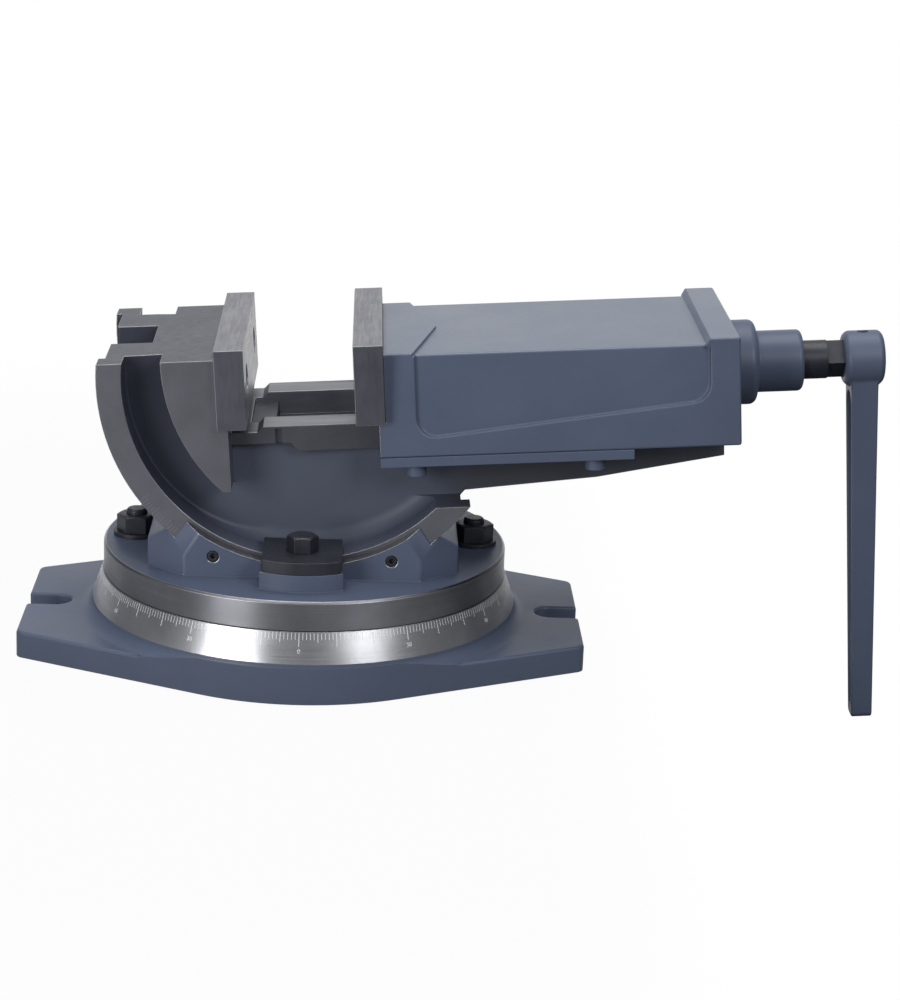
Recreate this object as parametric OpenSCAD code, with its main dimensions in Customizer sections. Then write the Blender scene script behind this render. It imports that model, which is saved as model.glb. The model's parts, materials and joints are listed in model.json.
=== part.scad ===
// Two-axis tilting vise. Millimetres, +Z up. The origin is on the swivel axis,
// in the plane of the base's underside. The jaws open along +X, towards the crank.

/* [Base and degree ring] */
// Length of the base plate over its two ends
base_l = 270; // [260:1:290]
// Width of the base plate at each end
base_end_w = 98; // [80:1:110]
// Thickness of the base plate
base_t = 13; // [12:0.5:15]
// Height of the machined degree ring
ring_h = 14.1; // [12:0.1:18]
// How far the foot of the degree ring stands out from the swivel table
ring_flare = 5.4; // [4:0.1:8]
// Width of the two open slots for the holding-down bolts
slot_w = 15; // [12:0.5:16]
// Depth of the open slots from the ends of the base
slot_depth = 21; // [18:0.5:28]

/* [Swivel table and cradle] */
// Radius of the swivel table's rim
rim_r = 97.6; // [96.8:0.1:102]
// Height of the rim
rim_h = 14; // [13:0.5:16]
// Radius from the swivel axis to the T-bolts
tbolt_r = 82; // [81:0.5:84]
// Diameter of the T-bolts
tbolt_d = 10; // [8:0.5:12]
// Diameter of the bolts of the two clamps
clamp_bolt_d = 8; // [6:0.5:8]
// Width of the cradle's flat front face
cradle_face_w = 110; // [106:1:114]
// Width of the cradle over its sides
cradle_w = 146; // [142:1:147]
// Thickness of the cradle's lips outside the tilting flanges
lip_t = 5.4; // [5:0.1:6.5]
// How far the lips cover the flanges, measured on the radius
lip_cover = 9.5; // [7:0.5:11]

/* [Tilting body] */
// Height of the tilt axis over the top of the rim
axis_rise = 93.2; // [92:0.1:96]
// Outer radius of the two tilting flanges
flange_r = 96.5; // [95:0.1:98]
// Radial width of the machined band on each flange
band_w = 11.7; // [10.5:0.1:13]
// Width of the body over its machined sides
body_w = 117; // [112:0.5:120]
// Width of the drum between the flanges
drum_w = 92; // [88:0.5:95]
// Width of the web that carries the bed
web_w = 72; // [66:0.5:76]
// Tilt of the head at rest, crank end up
tilt_rest = 3.9; // [0:0.1:10]
// Height of the casting's top face over the tilt axis
top_rise = 11.6; // [9:0.1:13]
// Depth of the ways below the tilt axis
ways_drop = 25; // [23:0.5:27]
// Width over the two ways
ways_w = 84; // [80:0.5:88]
// Width of the slot between the ways
bed_slot_w = 47; // [46:0.5:52]
// Thickness of the rails that the keepers hook under
rail_t = 12.4; // [11.5:0.1:14]
// Reach of the bed beyond the tilt axis
bed_reach = 194.5; // [185:0.5:200]

/* [Jaws] */
// Width of the jaw plates
jaw_w = 125; // [118:1:130]
// Height of the jaw plates
jaw_h = 37.7; // [34:0.1:42]
// Thickness of the jaw plates
jaw_t = 13.7; // [12:0.1:16]
// Distance of the fixed jaw's gripping face from the tilt axis
jaw_face_x = 28.3; // [26:0.1:30]
// Opening between the jaws at rest
jaw_gap = 50; // [20:1:60]
// Height of the jaw plates' lower edge over the ways
jaw_lift = 4.1; // [3:0.1:6]
// Distance between the two screws of a jaw plate
jaw_screw_pitch = 76; // [60:1:84]
// Diameter of the jaw plate screws
jaw_screw_d = 8; // [6:0.5:8]

/* [Moving jaw] */
// Length of the moving jaw casting behind its plate
slider_l = 164.6; // [160:0.5:170]
// Height of its long top face over the ways
slider_h = 34.4; // [33:0.1:38]
// Width of its long top face
slider_top_w = 104; // [100:0.5:106]
// Step of the raised frame round the recessed side panels
frame_step = 2.2; // [1.5:0.1:2.6]
// Thickness of the keeper plates
keeper_t = 4.8; // [4:0.1:6]
// Length of the keeper plates
keeper_l = 117.8; // [100:0.5:125]
// Diameter of the large step of the screw boss
boss_d = 40.8; // [37:0.1:43]
// Diameter of the small step of the screw boss
boss_nose_d = 29.6; // [28.8:0.1:34]
// Length of the large step of the screw boss
boss_l = 13.5; // [10:0.5:18]
// Length of the small step of the screw boss
boss_nose_l = 22.4; // [18:0.1:26]

/* [Screw and crank] */
// Height of the screw over the ways
screw_rise = 12.5; // [12.3:0.1:14]
// Outer diameter of the screw thread
thread_d = 20; // [16:0.5:20]
// Pitch of the screw thread, which sets the run-out groove at its end
thread_pitch = 4; // [3:0.5:5]
// Diameter of the screw's journal
journal_d = 18.6; // [16.5:0.1:18.8]
// Width across the flats of the square that the crank fits
drive_af = 13; // [11:0.5:13]
// Diameter of the crank's hub
hub_d = 26.5; // [24:0.5:32]
// Length of the crank's hub along the screw
hub_l = 19.2; // [18:0.1:26]
// Distance from the screw to the tip of the crank
crank_l = 183.6; // [150:0.5:200]
// Thickness of the crank's arm at the hub, along the screw
arm_t = 13.2; // [11:0.1:15]
// Width of the crank's arm at the hub, across the screw
arm_w = 19; // [16:0.5:22]

/* [Clearances] */
// Radial clearance of running fits
run_fit = 0.05; // [0.02:0.01:0.1]
// Clearance between flat sliding faces
slide_fit = 0.1; // [0.05:0.05:0.3]
// Radial clearance of screws and bolts in their holes
bolt_fit = 0.1; // [0.05:0.05:0.3]
// Side clearance of the tilting flanges in the cradle
side_fit = 0.3; // [0.2:0.1:0.4]

/* [Hidden] */
$fn = 96;
// One overrun serves every cut
over = 1;

// Base: the foot's fillet, its margin, the pivot and the ring T-slot
foot_fillet_r = 6.6;
foot_margin = 0.4;
ring_top_step = 0.5;
base_corner_r = 5;
ring_foot_r = rim_r + ring_flare;
base_r = ring_foot_r + foot_margin;
base_top = base_t + foot_fillet_r + ring_h;
pivot_r = 15;
pivot_floor = 7;
pivot_reach = 7;
pivot_chamfer = 1;
tslot_neck_w = tbolt_d + 14 * bolt_fit;
tslot_head_w = 23;
tslot_head_h = 9;
tslot_floor = 10;
tbolt_head_w = 20;
tbolt_head_t = 7;
tslot_entry_r = 15;
core_in_r = 28;
core_out_r = 62;
core_h = 10;
core_rib_w = 14;

// Swivel table: floor inside the rim and the seat of the flanges
rim_bevel = 1;
table_bottom = base_top + slide_fit;
rim_top = table_bottom + rim_h;
tilt_z = rim_top + axis_rise;
body_hw = body_w / 2;
seat_hw = body_hw + side_fit;
cradle_y = seat_hw + lip_t;
seat_r = flange_r + run_fit;
lip_r = flange_r - lip_cover;
band_in_r = flange_r - band_w;
cradle_side_y = 0.75 * cradle_y;
cradle_blank_h = 30;
shoulder_h = 13.5;
shoulder_slope = 36;
facet_h = 10;
facet_lean = 17.9;
facet_turn = 61;
nut_relief_r = 13.6;

// Arc clamps and their pads
clamp_w = 36.8;
clamp_t = 6;
clamp_front_r = 37;
clamp_fit = 0.15;
clamp_inner_y = drum_w / 2 + side_fit;
pad_w = clamp_w + 2;
pad_reach = 21;
clamp_bolt_in = 5.8;
pad_h = tilt_z - band_in_r - rim_top;
clamp_bolt_y = seat_hw + clamp_bolt_in;
clamp_bolt_end = table_bottom + 5;
tbolt_af = 17;
clamp_af = 13;
hex_head_share = 0.95;
hex_crown = 0.9;
washer_t = 2;
washer_r = 11.3;
nut_share = 0.84;
stud_reach = 2.6;

// Side set screws of the cradle
set_d = 5;
set_x = 41.5;
set_h = 9.7;
set_sink = 0.8;
set_socket_share = 0.5;
set_chamfer = 0.5;

// Tilting body
drum_step = 3.1;
drum_r = flange_r - drum_step;
web_hw = web_w / 2;
web_fillet_r = 8;
web_thick_hw = 43;
web_taper_x0 = -76;
web_taper_x1 = -22;
web_lap = 4;
ways_h = -ways_drop;
rail_h = ways_h - rail_t;
right_cut_h = -62.5;
right_cut_x = 40;
jaw_seat_x = -jaw_face_x - jaw_t;
ledge_x = jaw_seat_x + 5;
gusset_top_x = -66.6;
gusset_foot_x = -40.9;
gusset_foot_h = -51.5;
gusset_r = 86;
bed_slot_h = 11.5;
bed_slot_x = -17;
bed_relief = 2.5;
rail_start_x = -22;
rail_thin_x = -9.5;
rail_thin = 8.3;
rail_slope = 3.5;
side_groove_x = -16.2;
side_groove_w = 2.8;
side_groove_t = 2;
core_hole_d = 28;
core_hole_x = 3.5;
core_hole_h = 26;
end_pocket_w = 35;
end_pocket_x = -73;
end_pocket_h = 30;
end_pocket_r = 5;
wedge_root_x = 68;
wedge_root_h = -61;
wedge_mid_x = 134;
wedge_mid_h = -57;
wedge_end_h = -48.5;
wedge_relief_r = 3;

// Jaw plates and their screws
jaw_low = ways_h + jaw_lift;
jaw_mid = jaw_low + jaw_h / 2;
head_share = 1.6;
head_t_share = 1;
socket_share = 0.75;
socket_depth_share = 0.5;
jaw_bore_depth = 9.4;
jaw_thread_l = 12;
moving_face_x = jaw_gap - jaw_face_x;
slider_x = moving_face_x + jaw_t;

// Moving jaw casting
skirt_fit = 0.3;
keeper_fit = 0.3;
slider_end_x = slider_x + slider_l;
slider_low = rail_h - keeper_fit;
slider_top = ways_h + slider_h;
slider_ledge = 3;
slider_lap = 0.2;
slider_low_hw = body_hw + slider_lap;
head_land = 13.5;
head_apex = 25.5;
head_step = 1.3;
rib_l = 14;
rib_step = 3.4;
rib_back = 2;
panel_x0 = 14.5;
panel_x1 = 150.5;
panel_low0 = 8;
panel_low1 = 21.5;
panel_corner_r = 9;
cavity_x0 = 15;
cavity_end_t = 10.4;
cavity_throat_w = 45.6;
cavity_sole_h = 13;
cavity_roof_t = 6;
cavity_wall_t = 10;
boss_round = 3.5;
nose_round = 2.5;
keeper_gap = 0.5;
keeper_hook = web_w / 2 + keeper_gap;
keeper_bolt_d = 6;
keeper_bolt_x0 = 16.5;
keeper_bolt_x1 = 100;
keeper_bolt_off = 0.35;
keeper_bolt_y = (ways_w / 2 + slider_low_hw) / 2 - keeper_bolt_off;
keeper_thread_l = 11;

// Screw, nut and thrust parts, placed from the moving jaw
screw_h = ways_h + screw_rise;
screw_clear = 3;
thread_start = slider_x + cavity_x0 + screw_clear;
thread_core_share = 0.6;
thread_relief_share = 1.5;
collar_d = 24;
collar_t = 5;
thrust_washer_t = 2;
end_wall_x = slider_end_x - cavity_end_t;
collar_x = end_wall_x - thrust_washer_t - collar_t;
nose_x = slider_end_x + boss_l + boss_nose_l;
ring_t = 7;
ring_d = 24;
bearing_t = 3;
ring_pocket_l = ring_t + bearing_t + 0.4;
ring_pin_d = 4;
bearing_ball_d = 2.2;
journal_reach = 12;
drive_x = nose_x + journal_reach;
hub_stand = 8;
hub_x = drive_x + hub_stand;
screw_sink = 1.5;
screw_end = hub_x + hub_l - screw_sink;
drive_fit = 0.1;
nut_x = 103;
nut_l = 29;
nut_r = 14;
nut_neck_w = 25;
nut_foot_l = 42;
nut_foot_t = 9.5;
nut_foot_fit = 0.3;
nut_screw_d = 5;
nut_screw_pitch_x = 17;
nut_screw_pitch_y = 35;
nut_thread_l = 10;
hub_edge = 2;
arm_tip_share = 0.77;
arm_tip_w_share = 0.61;
arm_tip_r = 3;
arm_web_share = 0.45;
arm_land = 3;
arm_lean = 1.2;
crank_pin_d = 5;

castpaint = [0.33, 0.37, 0.44];
steelgrey = [0.62, 0.62, 0.60];
blacking = [0.13, 0.13, 0.15];
bronze = [0.66, 0.50, 0.26];

// Points of an arc about c from angle a0 to a1
function arc(c, r, a0, a1, n = 12) =
    [for (i = [0:n]) c + r * [cos(a0 + (a1 - a0) * i / n), sin(a0 + (a1 - a0) * i / n)]];

// The same outline with every corner rounded to radius r
function unit(v) = v / norm(v);
function corner(a, b, c, r, n = 6) =
    let (u = unit(a - b), v = unit(c - b), half = acos(u * v) / 2,
         m = b + unit(u + v) * r / sin(half),
         p = b + u * r / tan(half), q = b + v * r / tan(half),
         a0 = atan2(p[1] - m[1], p[0] - m[0]), a1 = atan2(q[1] - m[1], q[0] - m[0]),
         d = a1 - a0, t = d > 180 ? d - 360 : d < -180 ? d + 360 : d)
    arc(m, r, a0, a0 + t, n);
function rounded(pts, r, n = 6) =
    [for (i = [0:len(pts) - 1])
        each corner(pts[(i + len(pts) - 1) % len(pts)], pts[i], pts[(i + 1) % len(pts)], r, n)];

// An outline drawn in X and Z, extruded evenly to both sides of the XZ plane
module side_view(w) {
    rotate([90, 0, 0]) linear_extrude(w, center = true) children();
}

// An outline drawn in Y and Z, extruded along +X from x0
module end_view(x0, l) {
    translate([x0, 0, 0]) rotate([90, 0, 90]) linear_extrude(l) children();
}

// A cylinder along +X
module bar_x(x0, l, r) {
    translate([x0, 0, 0]) rotate([0, 90, 0]) cylinder(h = l, r = r);
}

// Children drawn about the tilt axis, level, put at the head's tilt at rest
module tilted() {
    translate([0, 0, tilt_z]) rotate([0, -tilt_rest, 0]) children();
}

module both_sides() {
    children();
    mirror([0, 1, 0]) children();
}

module both_ends() {
    children();
    mirror([1, 0, 0]) children();
}

// Socket cap screw along +Z: its head stands on z = 0, its shank reaches down
module cap_screw(d, l) {
    head_r = head_share * d / 2;
    head_t = head_t_share * d;
    difference() {
        union() {
            cylinder(h = head_t, r = head_r);
            translate([0, 0, -l]) cylinder(h = l + head_t / 2, r = d / 2);
        }
        translate([0, 0, head_t * (1 - socket_depth_share)])
            cylinder(h = head_t, r = socket_share * d / 2 / cos(30), $fn = 6);
    }
}

// Hexagon prism with its upper corners turned off, standing on z = 0
module hex_block(af, h) {
    r = af / 2;
    intersection() {
        cylinder(h = h, r = r / cos(30), $fn = 6);
        union() {
            cylinder(h = h - hex_crown, r = r / cos(30) + over);
            translate([0, 0, h - hex_crown]) cylinder(h = hex_crown, r1 = r / cos(30), r2 = r - hex_crown);
        }
    }
}

// Base plate: a round middle joined to two narrower ends by tangent lines
module base_outline() {
    end = [base_l / 2, base_end_w / 2];
    share = base_r / norm(end);
    touch = share * (share * end + sqrt(1 - share * share) * [-end[1], end[0]]);
    circle(r = base_r, $fn = 180);
    polygon(rounded([end, touch, [-touch[0], touch[1]], [-end[0], end[1]],
                     [-end[0], -end[1]], [-touch[0], -touch[1]],
                     [touch[0], -touch[1]], [end[0], -end[1]]], base_corner_r));
}

module base_ring_profile() {
    c = [ring_foot_r + foot_fillet_r, base_t + foot_fillet_r];
    polygon(concat([[0, base_t / 2], [c[0], base_t / 2]], arc(c, foot_fillet_r, 270, 180),
                   [[rim_r + ring_top_step, base_top], [0, base_top]]));
}

module base_casting() {
    color(castpaint) difference() {
        union() {
            linear_extrude(base_t) base_outline();
            intersection() {
                rotate_extrude($fn = 180) base_ring_profile();
                linear_extrude(base_top + over) base_outline();
            }
        }
        both_ends() translate([base_l / 2 - slot_depth + slot_w / 2, 0, -over]) {
            cylinder(h = base_t + 2 * over, r = slot_w / 2);
            translate([0, -slot_w / 2, 0]) cube([slot_depth, slot_w, base_t + 2 * over]);
        }
        rotate_extrude($fn = 180) {
            translate([tbolt_r - tslot_neck_w / 2, tslot_floor]) square([tslot_neck_w, base_top]);
            translate([tbolt_r - tslot_head_w / 2, tslot_floor]) square([tslot_head_w, tslot_head_h]);
        }
        translate([0, tbolt_r, -over]) cylinder(h = tslot_floor + tslot_head_h, r = tslot_entry_r);
        translate([0, 0, pivot_floor]) cylinder(h = base_top, r = pivot_r);
        difference() {
            translate([0, 0, -over]) cylinder(h = core_h + over, r = core_out_r);
            translate([0, 0, -2 * over]) cylinder(h = core_h + 4 * over, r = core_in_r);
            for (a = [45, 135]) rotate([0, 0, a]) translate([-base_r, -core_rib_w / 2, -2 * over])
                cube([2 * base_r, core_rib_w, core_h + 4 * over]);
        }
    }
}

// Turned pin, pressed into the base, that the swivel table turns on
module pivot_pin() {
    h = base_top + pivot_reach - pivot_floor;
    color(steelgrey) translate([0, 0, pivot_floor]) {
        cylinder(h = h - pivot_chamfer, r = pivot_r);
        translate([0, 0, h - pivot_chamfer])
            cylinder(h = pivot_chamfer, r1 = pivot_r, r2 = pivot_r - pivot_chamfer);
    }
}

module table_profile() {
    polygon([[0, table_bottom], [rim_r, table_bottom], [rim_r, rim_top - rim_bevel],
             [rim_r - rim_bevel, rim_top], [0, rim_top]]);
}

module cradle_outline() {
    fx = cradle_face_w / 2;
    sx = cradle_w / 2;
    polygon([[-fx, -cradle_y], [fx, -cradle_y], [sx, -cradle_side_y], [sx, cradle_side_y],
             [fx, cradle_y], [-fx, cradle_y], [-sx, cradle_side_y], [-sx, -cradle_side_y]]);
}

module pad_outline() {
    intersection() {
        translate([-pad_w / 2, -cradle_y - pad_reach]) square([pad_w, pad_reach + lip_t / 2]);
        translate([0, clamp_front_r - cradle_y - pad_reach]) circle(r = clamp_front_r);
    }
}

module swivel_table() {
    color(castpaint) difference() {
        union() {
            rotate_extrude($fn = 180) table_profile();
            translate([0, 0, rim_top - over]) linear_extrude(cradle_blank_h + over) cradle_outline();
            both_sides() translate([0, 0, rim_top - over]) linear_extrude(pad_h + over) pad_outline();
        }
        // seat of the flanges, and the lips outside it
        translate([0, 0, tilt_z]) {
            rotate([90, 0, 0]) cylinder(h = 2 * seat_hw, r = seat_r, center = true, $fn = 180);
            rotate([90, 0, 0]) cylinder(h = 2 * (cradle_y + over), r = lip_r, center = true, $fn = 180);
        }
        // reading facets at the four upper corners
        both_sides() both_ends() intersection() {
            translate([cradle_face_w / 2, -cradle_y, rim_top + facet_h])
                rotate([0, -facet_lean, -facet_turn]) translate([0, -cradle_w / 2, -cradle_blank_h])
                    cube([cradle_w, cradle_w, 3 * cradle_blank_h]);
            translate([0, -cradle_w, rim_top + facet_h / 2]) cube([cradle_w, cradle_w, cradle_blank_h]);
        }
        // shoulders slope up to the seat
        both_ends() translate([cradle_w / 2, -cradle_y - over, rim_top + shoulder_h])
            rotate([0, shoulder_slope, 0]) translate([-cradle_w / 2, 0, 0])
                cube([cradle_w / 2 + over, 2 * (cradle_y + over), cradle_blank_h]);
        // the lips are open where the clamps pass
        translate([-pad_w / 2, -cradle_y - over, rim_top + pad_h])
            cube([pad_w, 2 * (cradle_y + over), cradle_blank_h]);
        for (s = [-1, 1]) translate([s * tbolt_r, 0, 0]) {
            cylinder(h = rim_top, r = tbolt_d / 2 + 3 * bolt_fit);
            translate([0, 0, rim_top]) cylinder(h = cradle_blank_h + over, r = nut_relief_r);
        }
        for (s = [-1, 1]) translate([0, s * clamp_bolt_y, clamp_bolt_end])
            cylinder(h = rim_top + cradle_blank_h, r = clamp_bolt_d / 2 + bolt_fit);
        both_sides() for (s = [-1, 1])
            translate([s * set_x, -cradle_y, rim_top + set_h]) rotate([90, 0, 0]) {
                translate([0, 0, -lip_t - over]) cylinder(h = lip_t + 2 * over, r = set_d / 2 + bolt_fit);
                translate([0, 0, -set_chamfer])
                    cylinder(h = 2 * set_chamfer, r1 = set_d / 2, r2 = set_d / 2 + 2 * set_chamfer);
            }
        translate([0, 0, table_bottom - over])
            cylinder(h = pivot_reach + 2 * over, r = pivot_r + run_fit, $fn = 96);
    }
}

tbolt_head_top = tslot_floor + tslot_head_h - slide_fit;
swivel_nut_h = nut_share * tbolt_d;

module t_bolts() {
    color(blacking) for (s = [-1, 1]) translate([s * tbolt_r, 0, 0]) {
        translate([-tbolt_head_w / 2, -tbolt_head_w / 2, tbolt_head_top - tbolt_head_t])
            cube([tbolt_head_w, tbolt_head_w, tbolt_head_t]);
        top = rim_top + washer_t + swivel_nut_h + stud_reach;
        translate([0, 0, tbolt_head_top - tbolt_head_t / 2])
            cylinder(h = top - hex_crown - tbolt_head_top + tbolt_head_t / 2, r = tbolt_d / 2);
        translate([0, 0, top - hex_crown])
            cylinder(h = hex_crown, r1 = tbolt_d / 2, r2 = tbolt_d / 2 - hex_crown);
    }
}

module swivel_washers() {
    color(blacking) for (s = [-1, 1]) translate([s * tbolt_r, 0, rim_top]) difference() {
        cylinder(h = washer_t, r = washer_r);
        translate([0, 0, -over]) cylinder(h = washer_t + 2 * over, r = tbolt_d / 2 + 2 * bolt_fit);
    }
}

module swivel_nuts() {
    color(blacking) for (s = [-1, 1]) translate([s * tbolt_r, 0, rim_top + washer_t]) difference() {
        hex_block(tbolt_af, swivel_nut_h);
        translate([0, 0, -over]) cylinder(h = swivel_nut_h + 2 * over, r = tbolt_d / 2 + bolt_fit);
    }
}

// Clamp on the front pad: its tongue lies in the flange, on the inner side of the band
module clamp_front() {
    low = rim_top + pad_h;
    color(blacking) difference() {
        translate([0, 0, low]) linear_extrude(clamp_t) intersection() {
            translate([-clamp_w / 2, -cradle_y - pad_reach])
                square([clamp_w, cradle_y + pad_reach - clamp_inner_y]);
            translate([0, clamp_front_r - cradle_y - pad_reach]) circle(r = clamp_front_r);
        }
        difference() {
            translate([-clamp_w, -seat_hw, low - over]) cube([2 * clamp_w, seat_hw, 2 * clamp_t]);
            translate([0, 0, tilt_z]) rotate([90, 0, 0])
                cylinder(h = 2 * cradle_y, r = band_in_r - clamp_fit, center = true, $fn = 180);
        }
        translate([0, -clamp_bolt_y, low - over]) cylinder(h = clamp_t + 2 * over, r = clamp_bolt_d / 2 + 2 * bolt_fit);
    }
}

module clamp_back() {
    mirror([0, 1, 0]) clamp_front();
}

module clamp_bolts() {
    top = rim_top + pad_h + clamp_t;
    color(blacking) for (s = [-1, 1]) translate([0, s * clamp_bolt_y, top]) {
        hex_block(clamp_af, hex_head_share * clamp_bolt_d);
        translate([0, 0, clamp_bolt_end + over - top])
            cylinder(h = top - clamp_bolt_end - over + hex_crown, r = clamp_bolt_d / 2);
    }
}

module cradle_set_screws() {
    l = lip_t - set_sink + side_fit / 2;
    color(blacking) both_sides() for (s = [-1, 1])
        translate([s * set_x, -cradle_y + set_sink, rim_top + set_h]) rotate([-90, 0, 0]) difference() {
            cylinder(h = l, r = set_d / 2);
            translate([0, 0, -over]) cylinder(h = l / 2 + over, r = set_socket_share * set_d / 2 / cos(30), $fn = 6);
        }
}

// One half of the wheel's section: web, fillet, machined band, drum
function wheel_section() = concat(
    [[0, web_hw]],
    arc([band_in_r - web_fillet_r, web_hw + web_fillet_r], web_fillet_r, 270, 360, 8),
    [[band_in_r, body_hw], [flange_r, body_hw], [flange_r, drum_w / 2], [drum_r, drum_w / 2], [drum_r, 0], [0, 0]]);

module wheel() {
    rotate([90, 0, 0]) for (m = [0, 1]) mirror([0, 0, m])
        rotate_extrude($fn = 180) polygon(wheel_section());
}

// The web grows thicker towards the round end
module thick_web() {
    intersection() {
        rotate([90, 0, 0]) cylinder(h = 2 * web_thick_hw, r = band_in_r + web_lap, center = true);
        translate([0, 0, -2 * flange_r]) linear_extrude(2 * flange_r + top_rise)
            polygon([[-2 * flange_r, -web_thick_hw], [web_taper_x0, -web_thick_hw], [web_taper_x1, -web_hw],
                     [web_taper_x1, web_hw], [web_taper_x0, web_thick_hw], [-2 * flange_r, web_thick_hw]]);
    }
}

// Side outline of the fixed jaw: its back edge is an arc from the top face to the foot
module gusset_outline() {
    a = [gusset_top_x, top_rise];
    b = [gusset_foot_x, gusset_foot_h];
    chord = norm(b - a);
    mid = (a + b) / 2;
    n = [-(b - a)[1], (b - a)[0]] / chord;
    c = mid + n * sqrt(gusset_r * gusset_r - chord * chord / 4);
    a0 = atan2(a[1] - c[1], a[0] - c[0]);
    a1 = atan2(b[1] - c[1], b[0] - c[0]);
    polygon(concat(arc(c, gusset_r, a0 < 0 ? a0 + 360 : a0, a1 < 0 ? a1 + 360 : a1, 16),
                   [[ledge_x, gusset_foot_h], [ledge_x, jaw_low],
                    [jaw_seat_x, jaw_low], [jaw_seat_x, top_rise]]));
}

module bed_side_outline() {
    thin_h = ways_h - rail_thin;
    polygon([[jaw_seat_x, thin_h], [rail_thin_x, thin_h], [rail_thin_x + rail_slope, rail_h],
             [bed_reach, rail_h], [bed_reach, ways_h], [rail_start_x, ways_h],
             [rail_start_x - bed_relief, ways_h - bed_relief], [jaw_seat_x, ways_h - bed_relief]]);
}

// Web under the bed: runs out past the drum as a tapering beam
module beam_outline() {
    drum_h = -sqrt(drum_r * drum_r - wedge_root_x * wedge_root_x);
    polygon([[jaw_seat_x, ways_h - rail_thin / 2], [rail_thin_x, ways_h - rail_thin / 2],
             [rail_thin_x + rail_slope, rail_h + rail_t / 3],
             [bed_reach, rail_h + rail_t / 3], [bed_reach, wedge_end_h], [wedge_mid_x, wedge_mid_h],
             [wedge_root_x + wedge_relief_r, wedge_root_h],
             [wedge_root_x, wedge_root_h - wedge_relief_r],
             [wedge_root_x, drum_h + wedge_relief_r / 2],
             [wedge_root_x - 2 * wedge_relief_r, drum_h],
             [jaw_seat_x, right_cut_h]]);
}

module tilt_body() {
    color(castpaint) tilted() difference() {
        union() {
            intersection() {
                union() {
                    wheel();
                    thick_web();
                }
                side_view(2 * body_w) polygon([
                    [-2 * flange_r, top_rise], [jaw_seat_x, top_rise], [jaw_seat_x, ways_h - rail_thin],
                    [right_cut_x, ways_h - rail_thin], [right_cut_x, right_cut_h],
                    [2 * flange_r, right_cut_h], [2 * flange_r, -2 * flange_r],
                    [-2 * flange_r, -2 * flange_r]]);
            }
            side_view(body_w) gusset_outline();
            side_view(ways_w) bed_side_outline();
            side_view(web_w) beam_outline();
        }
        // slot between the ways, and the lower land towards the fixed jaw
        translate([bed_slot_x, -bed_slot_w / 2, ways_h - bed_slot_h])
            cube([2 * bed_reach, bed_slot_w, bed_slot_h + over]);
        translate([-jaw_face_x, -bed_slot_w / 2, ways_h - 2 * bed_relief])
            cube([bed_reach, bed_slot_w, 2 * bed_relief + over]);
        translate([core_hole_x, 0, ways_h - bed_slot_h - core_hole_h])
            cylinder(h = core_hole_h + bed_slot_h, r = core_hole_d / 2);
        both_sides() translate([side_groove_x, -ways_w / 2 - over, rail_h])
            cube([side_groove_w, side_groove_t + over, rail_t - bed_relief / 2]);
        // cored pocket in the round end
        side_view(end_pocket_w) polygon(rounded([
            [end_pocket_x, top_rise + end_pocket_h], [end_pocket_x, top_rise - end_pocket_h],
            [-2 * flange_r, top_rise - end_pocket_h], [-2 * flange_r, top_rise + end_pocket_h]], end_pocket_r));
        for (s = [-1, 1]) translate([jaw_seat_x + over, s * jaw_screw_pitch / 2, jaw_mid])
            rotate([0, -90, 0]) cylinder(h = jaw_thread_l + 3 * over, r = jaw_screw_d / 2 + bolt_fit);
        nut_screw_places() translate([0, 0, ways_h - bed_slot_h - nut_thread_l - over])
            cylinder(h = nut_thread_l + 2 * over, r = nut_screw_d / 2 + bolt_fit);
    }
}

// Jaw plate with counterbored holes; its gripping face is at x = 0 and it reaches to x = jaw_t
module jaw_plate() {
    head_r = head_share * jaw_screw_d / 2 + 2 * bolt_fit;
    difference() {
        translate([0, -jaw_w / 2, jaw_low]) cube([jaw_t, jaw_w, jaw_h]);
        for (s = [-1, 1]) translate([0, s * jaw_screw_pitch / 2, jaw_mid]) {
            bar_x(-over, jaw_bore_depth + over, head_r);
            bar_x(-over, jaw_t + 2 * over, jaw_screw_d / 2 + bolt_fit);
        }
    }
}

module jaw_screws() {
    for (s = [-1, 1]) translate([jaw_bore_depth, s * jaw_screw_pitch / 2, jaw_mid])
        rotate([0, -90, 0]) cap_screw(jaw_screw_d, jaw_t - jaw_bore_depth + jaw_thread_l);
}

module at_fixed_jaw() {
    tilted() translate([-jaw_face_x, 0, 0]) mirror([1, 0, 0]) children();
}

module at_moving_jaw() {
    tilted() translate([moving_face_x, 0, 0]) children();
}

module fixed_jaw_plate() {
    color(steelgrey) at_fixed_jaw() jaw_plate();
}

module fixed_jaw_screws() {
    color(blacking) at_fixed_jaw() jaw_screws();
}

module moving_jaw_plate() {
    color(steelgrey) at_moving_jaw() jaw_plate();
}

module moving_jaw_screws() {
    color(blacking) at_moving_jaw() jaw_screws();
}

// Moving jaw casting
module slider_section(inset) {
    top = slider_top_w / 2 + frame_step - inset;
    low = slider_low_hw - inset;
    polygon([[-low, slider_low], [low, slider_low], [top, slider_top], [-top, slider_top]]);
}

module panel_outline() {
    x0 = slider_x + panel_x0;
    x1 = slider_x + panel_x1;
    polygon(rounded([[x0, slider_top + 2 * panel_corner_r], [x0, slider_low + panel_low0],
                     [x1, slider_low + panel_low1], [x1, slider_top + 2 * panel_corner_r]], panel_corner_r));
}

module boss_profile() {
    r = boss_d / 2;
    n = boss_nose_d / 2;
    polygon(concat([[0, -over], [r, -over]], arc([r - boss_round, boss_l - boss_round], boss_round, 0, 90, 6),
                   [[n, boss_l]],
                   arc([n - nose_round, boss_l + boss_nose_l - nose_round], nose_round, 0, 90, 6),
                   [[0, boss_l + boss_nose_l]]));
}

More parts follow.
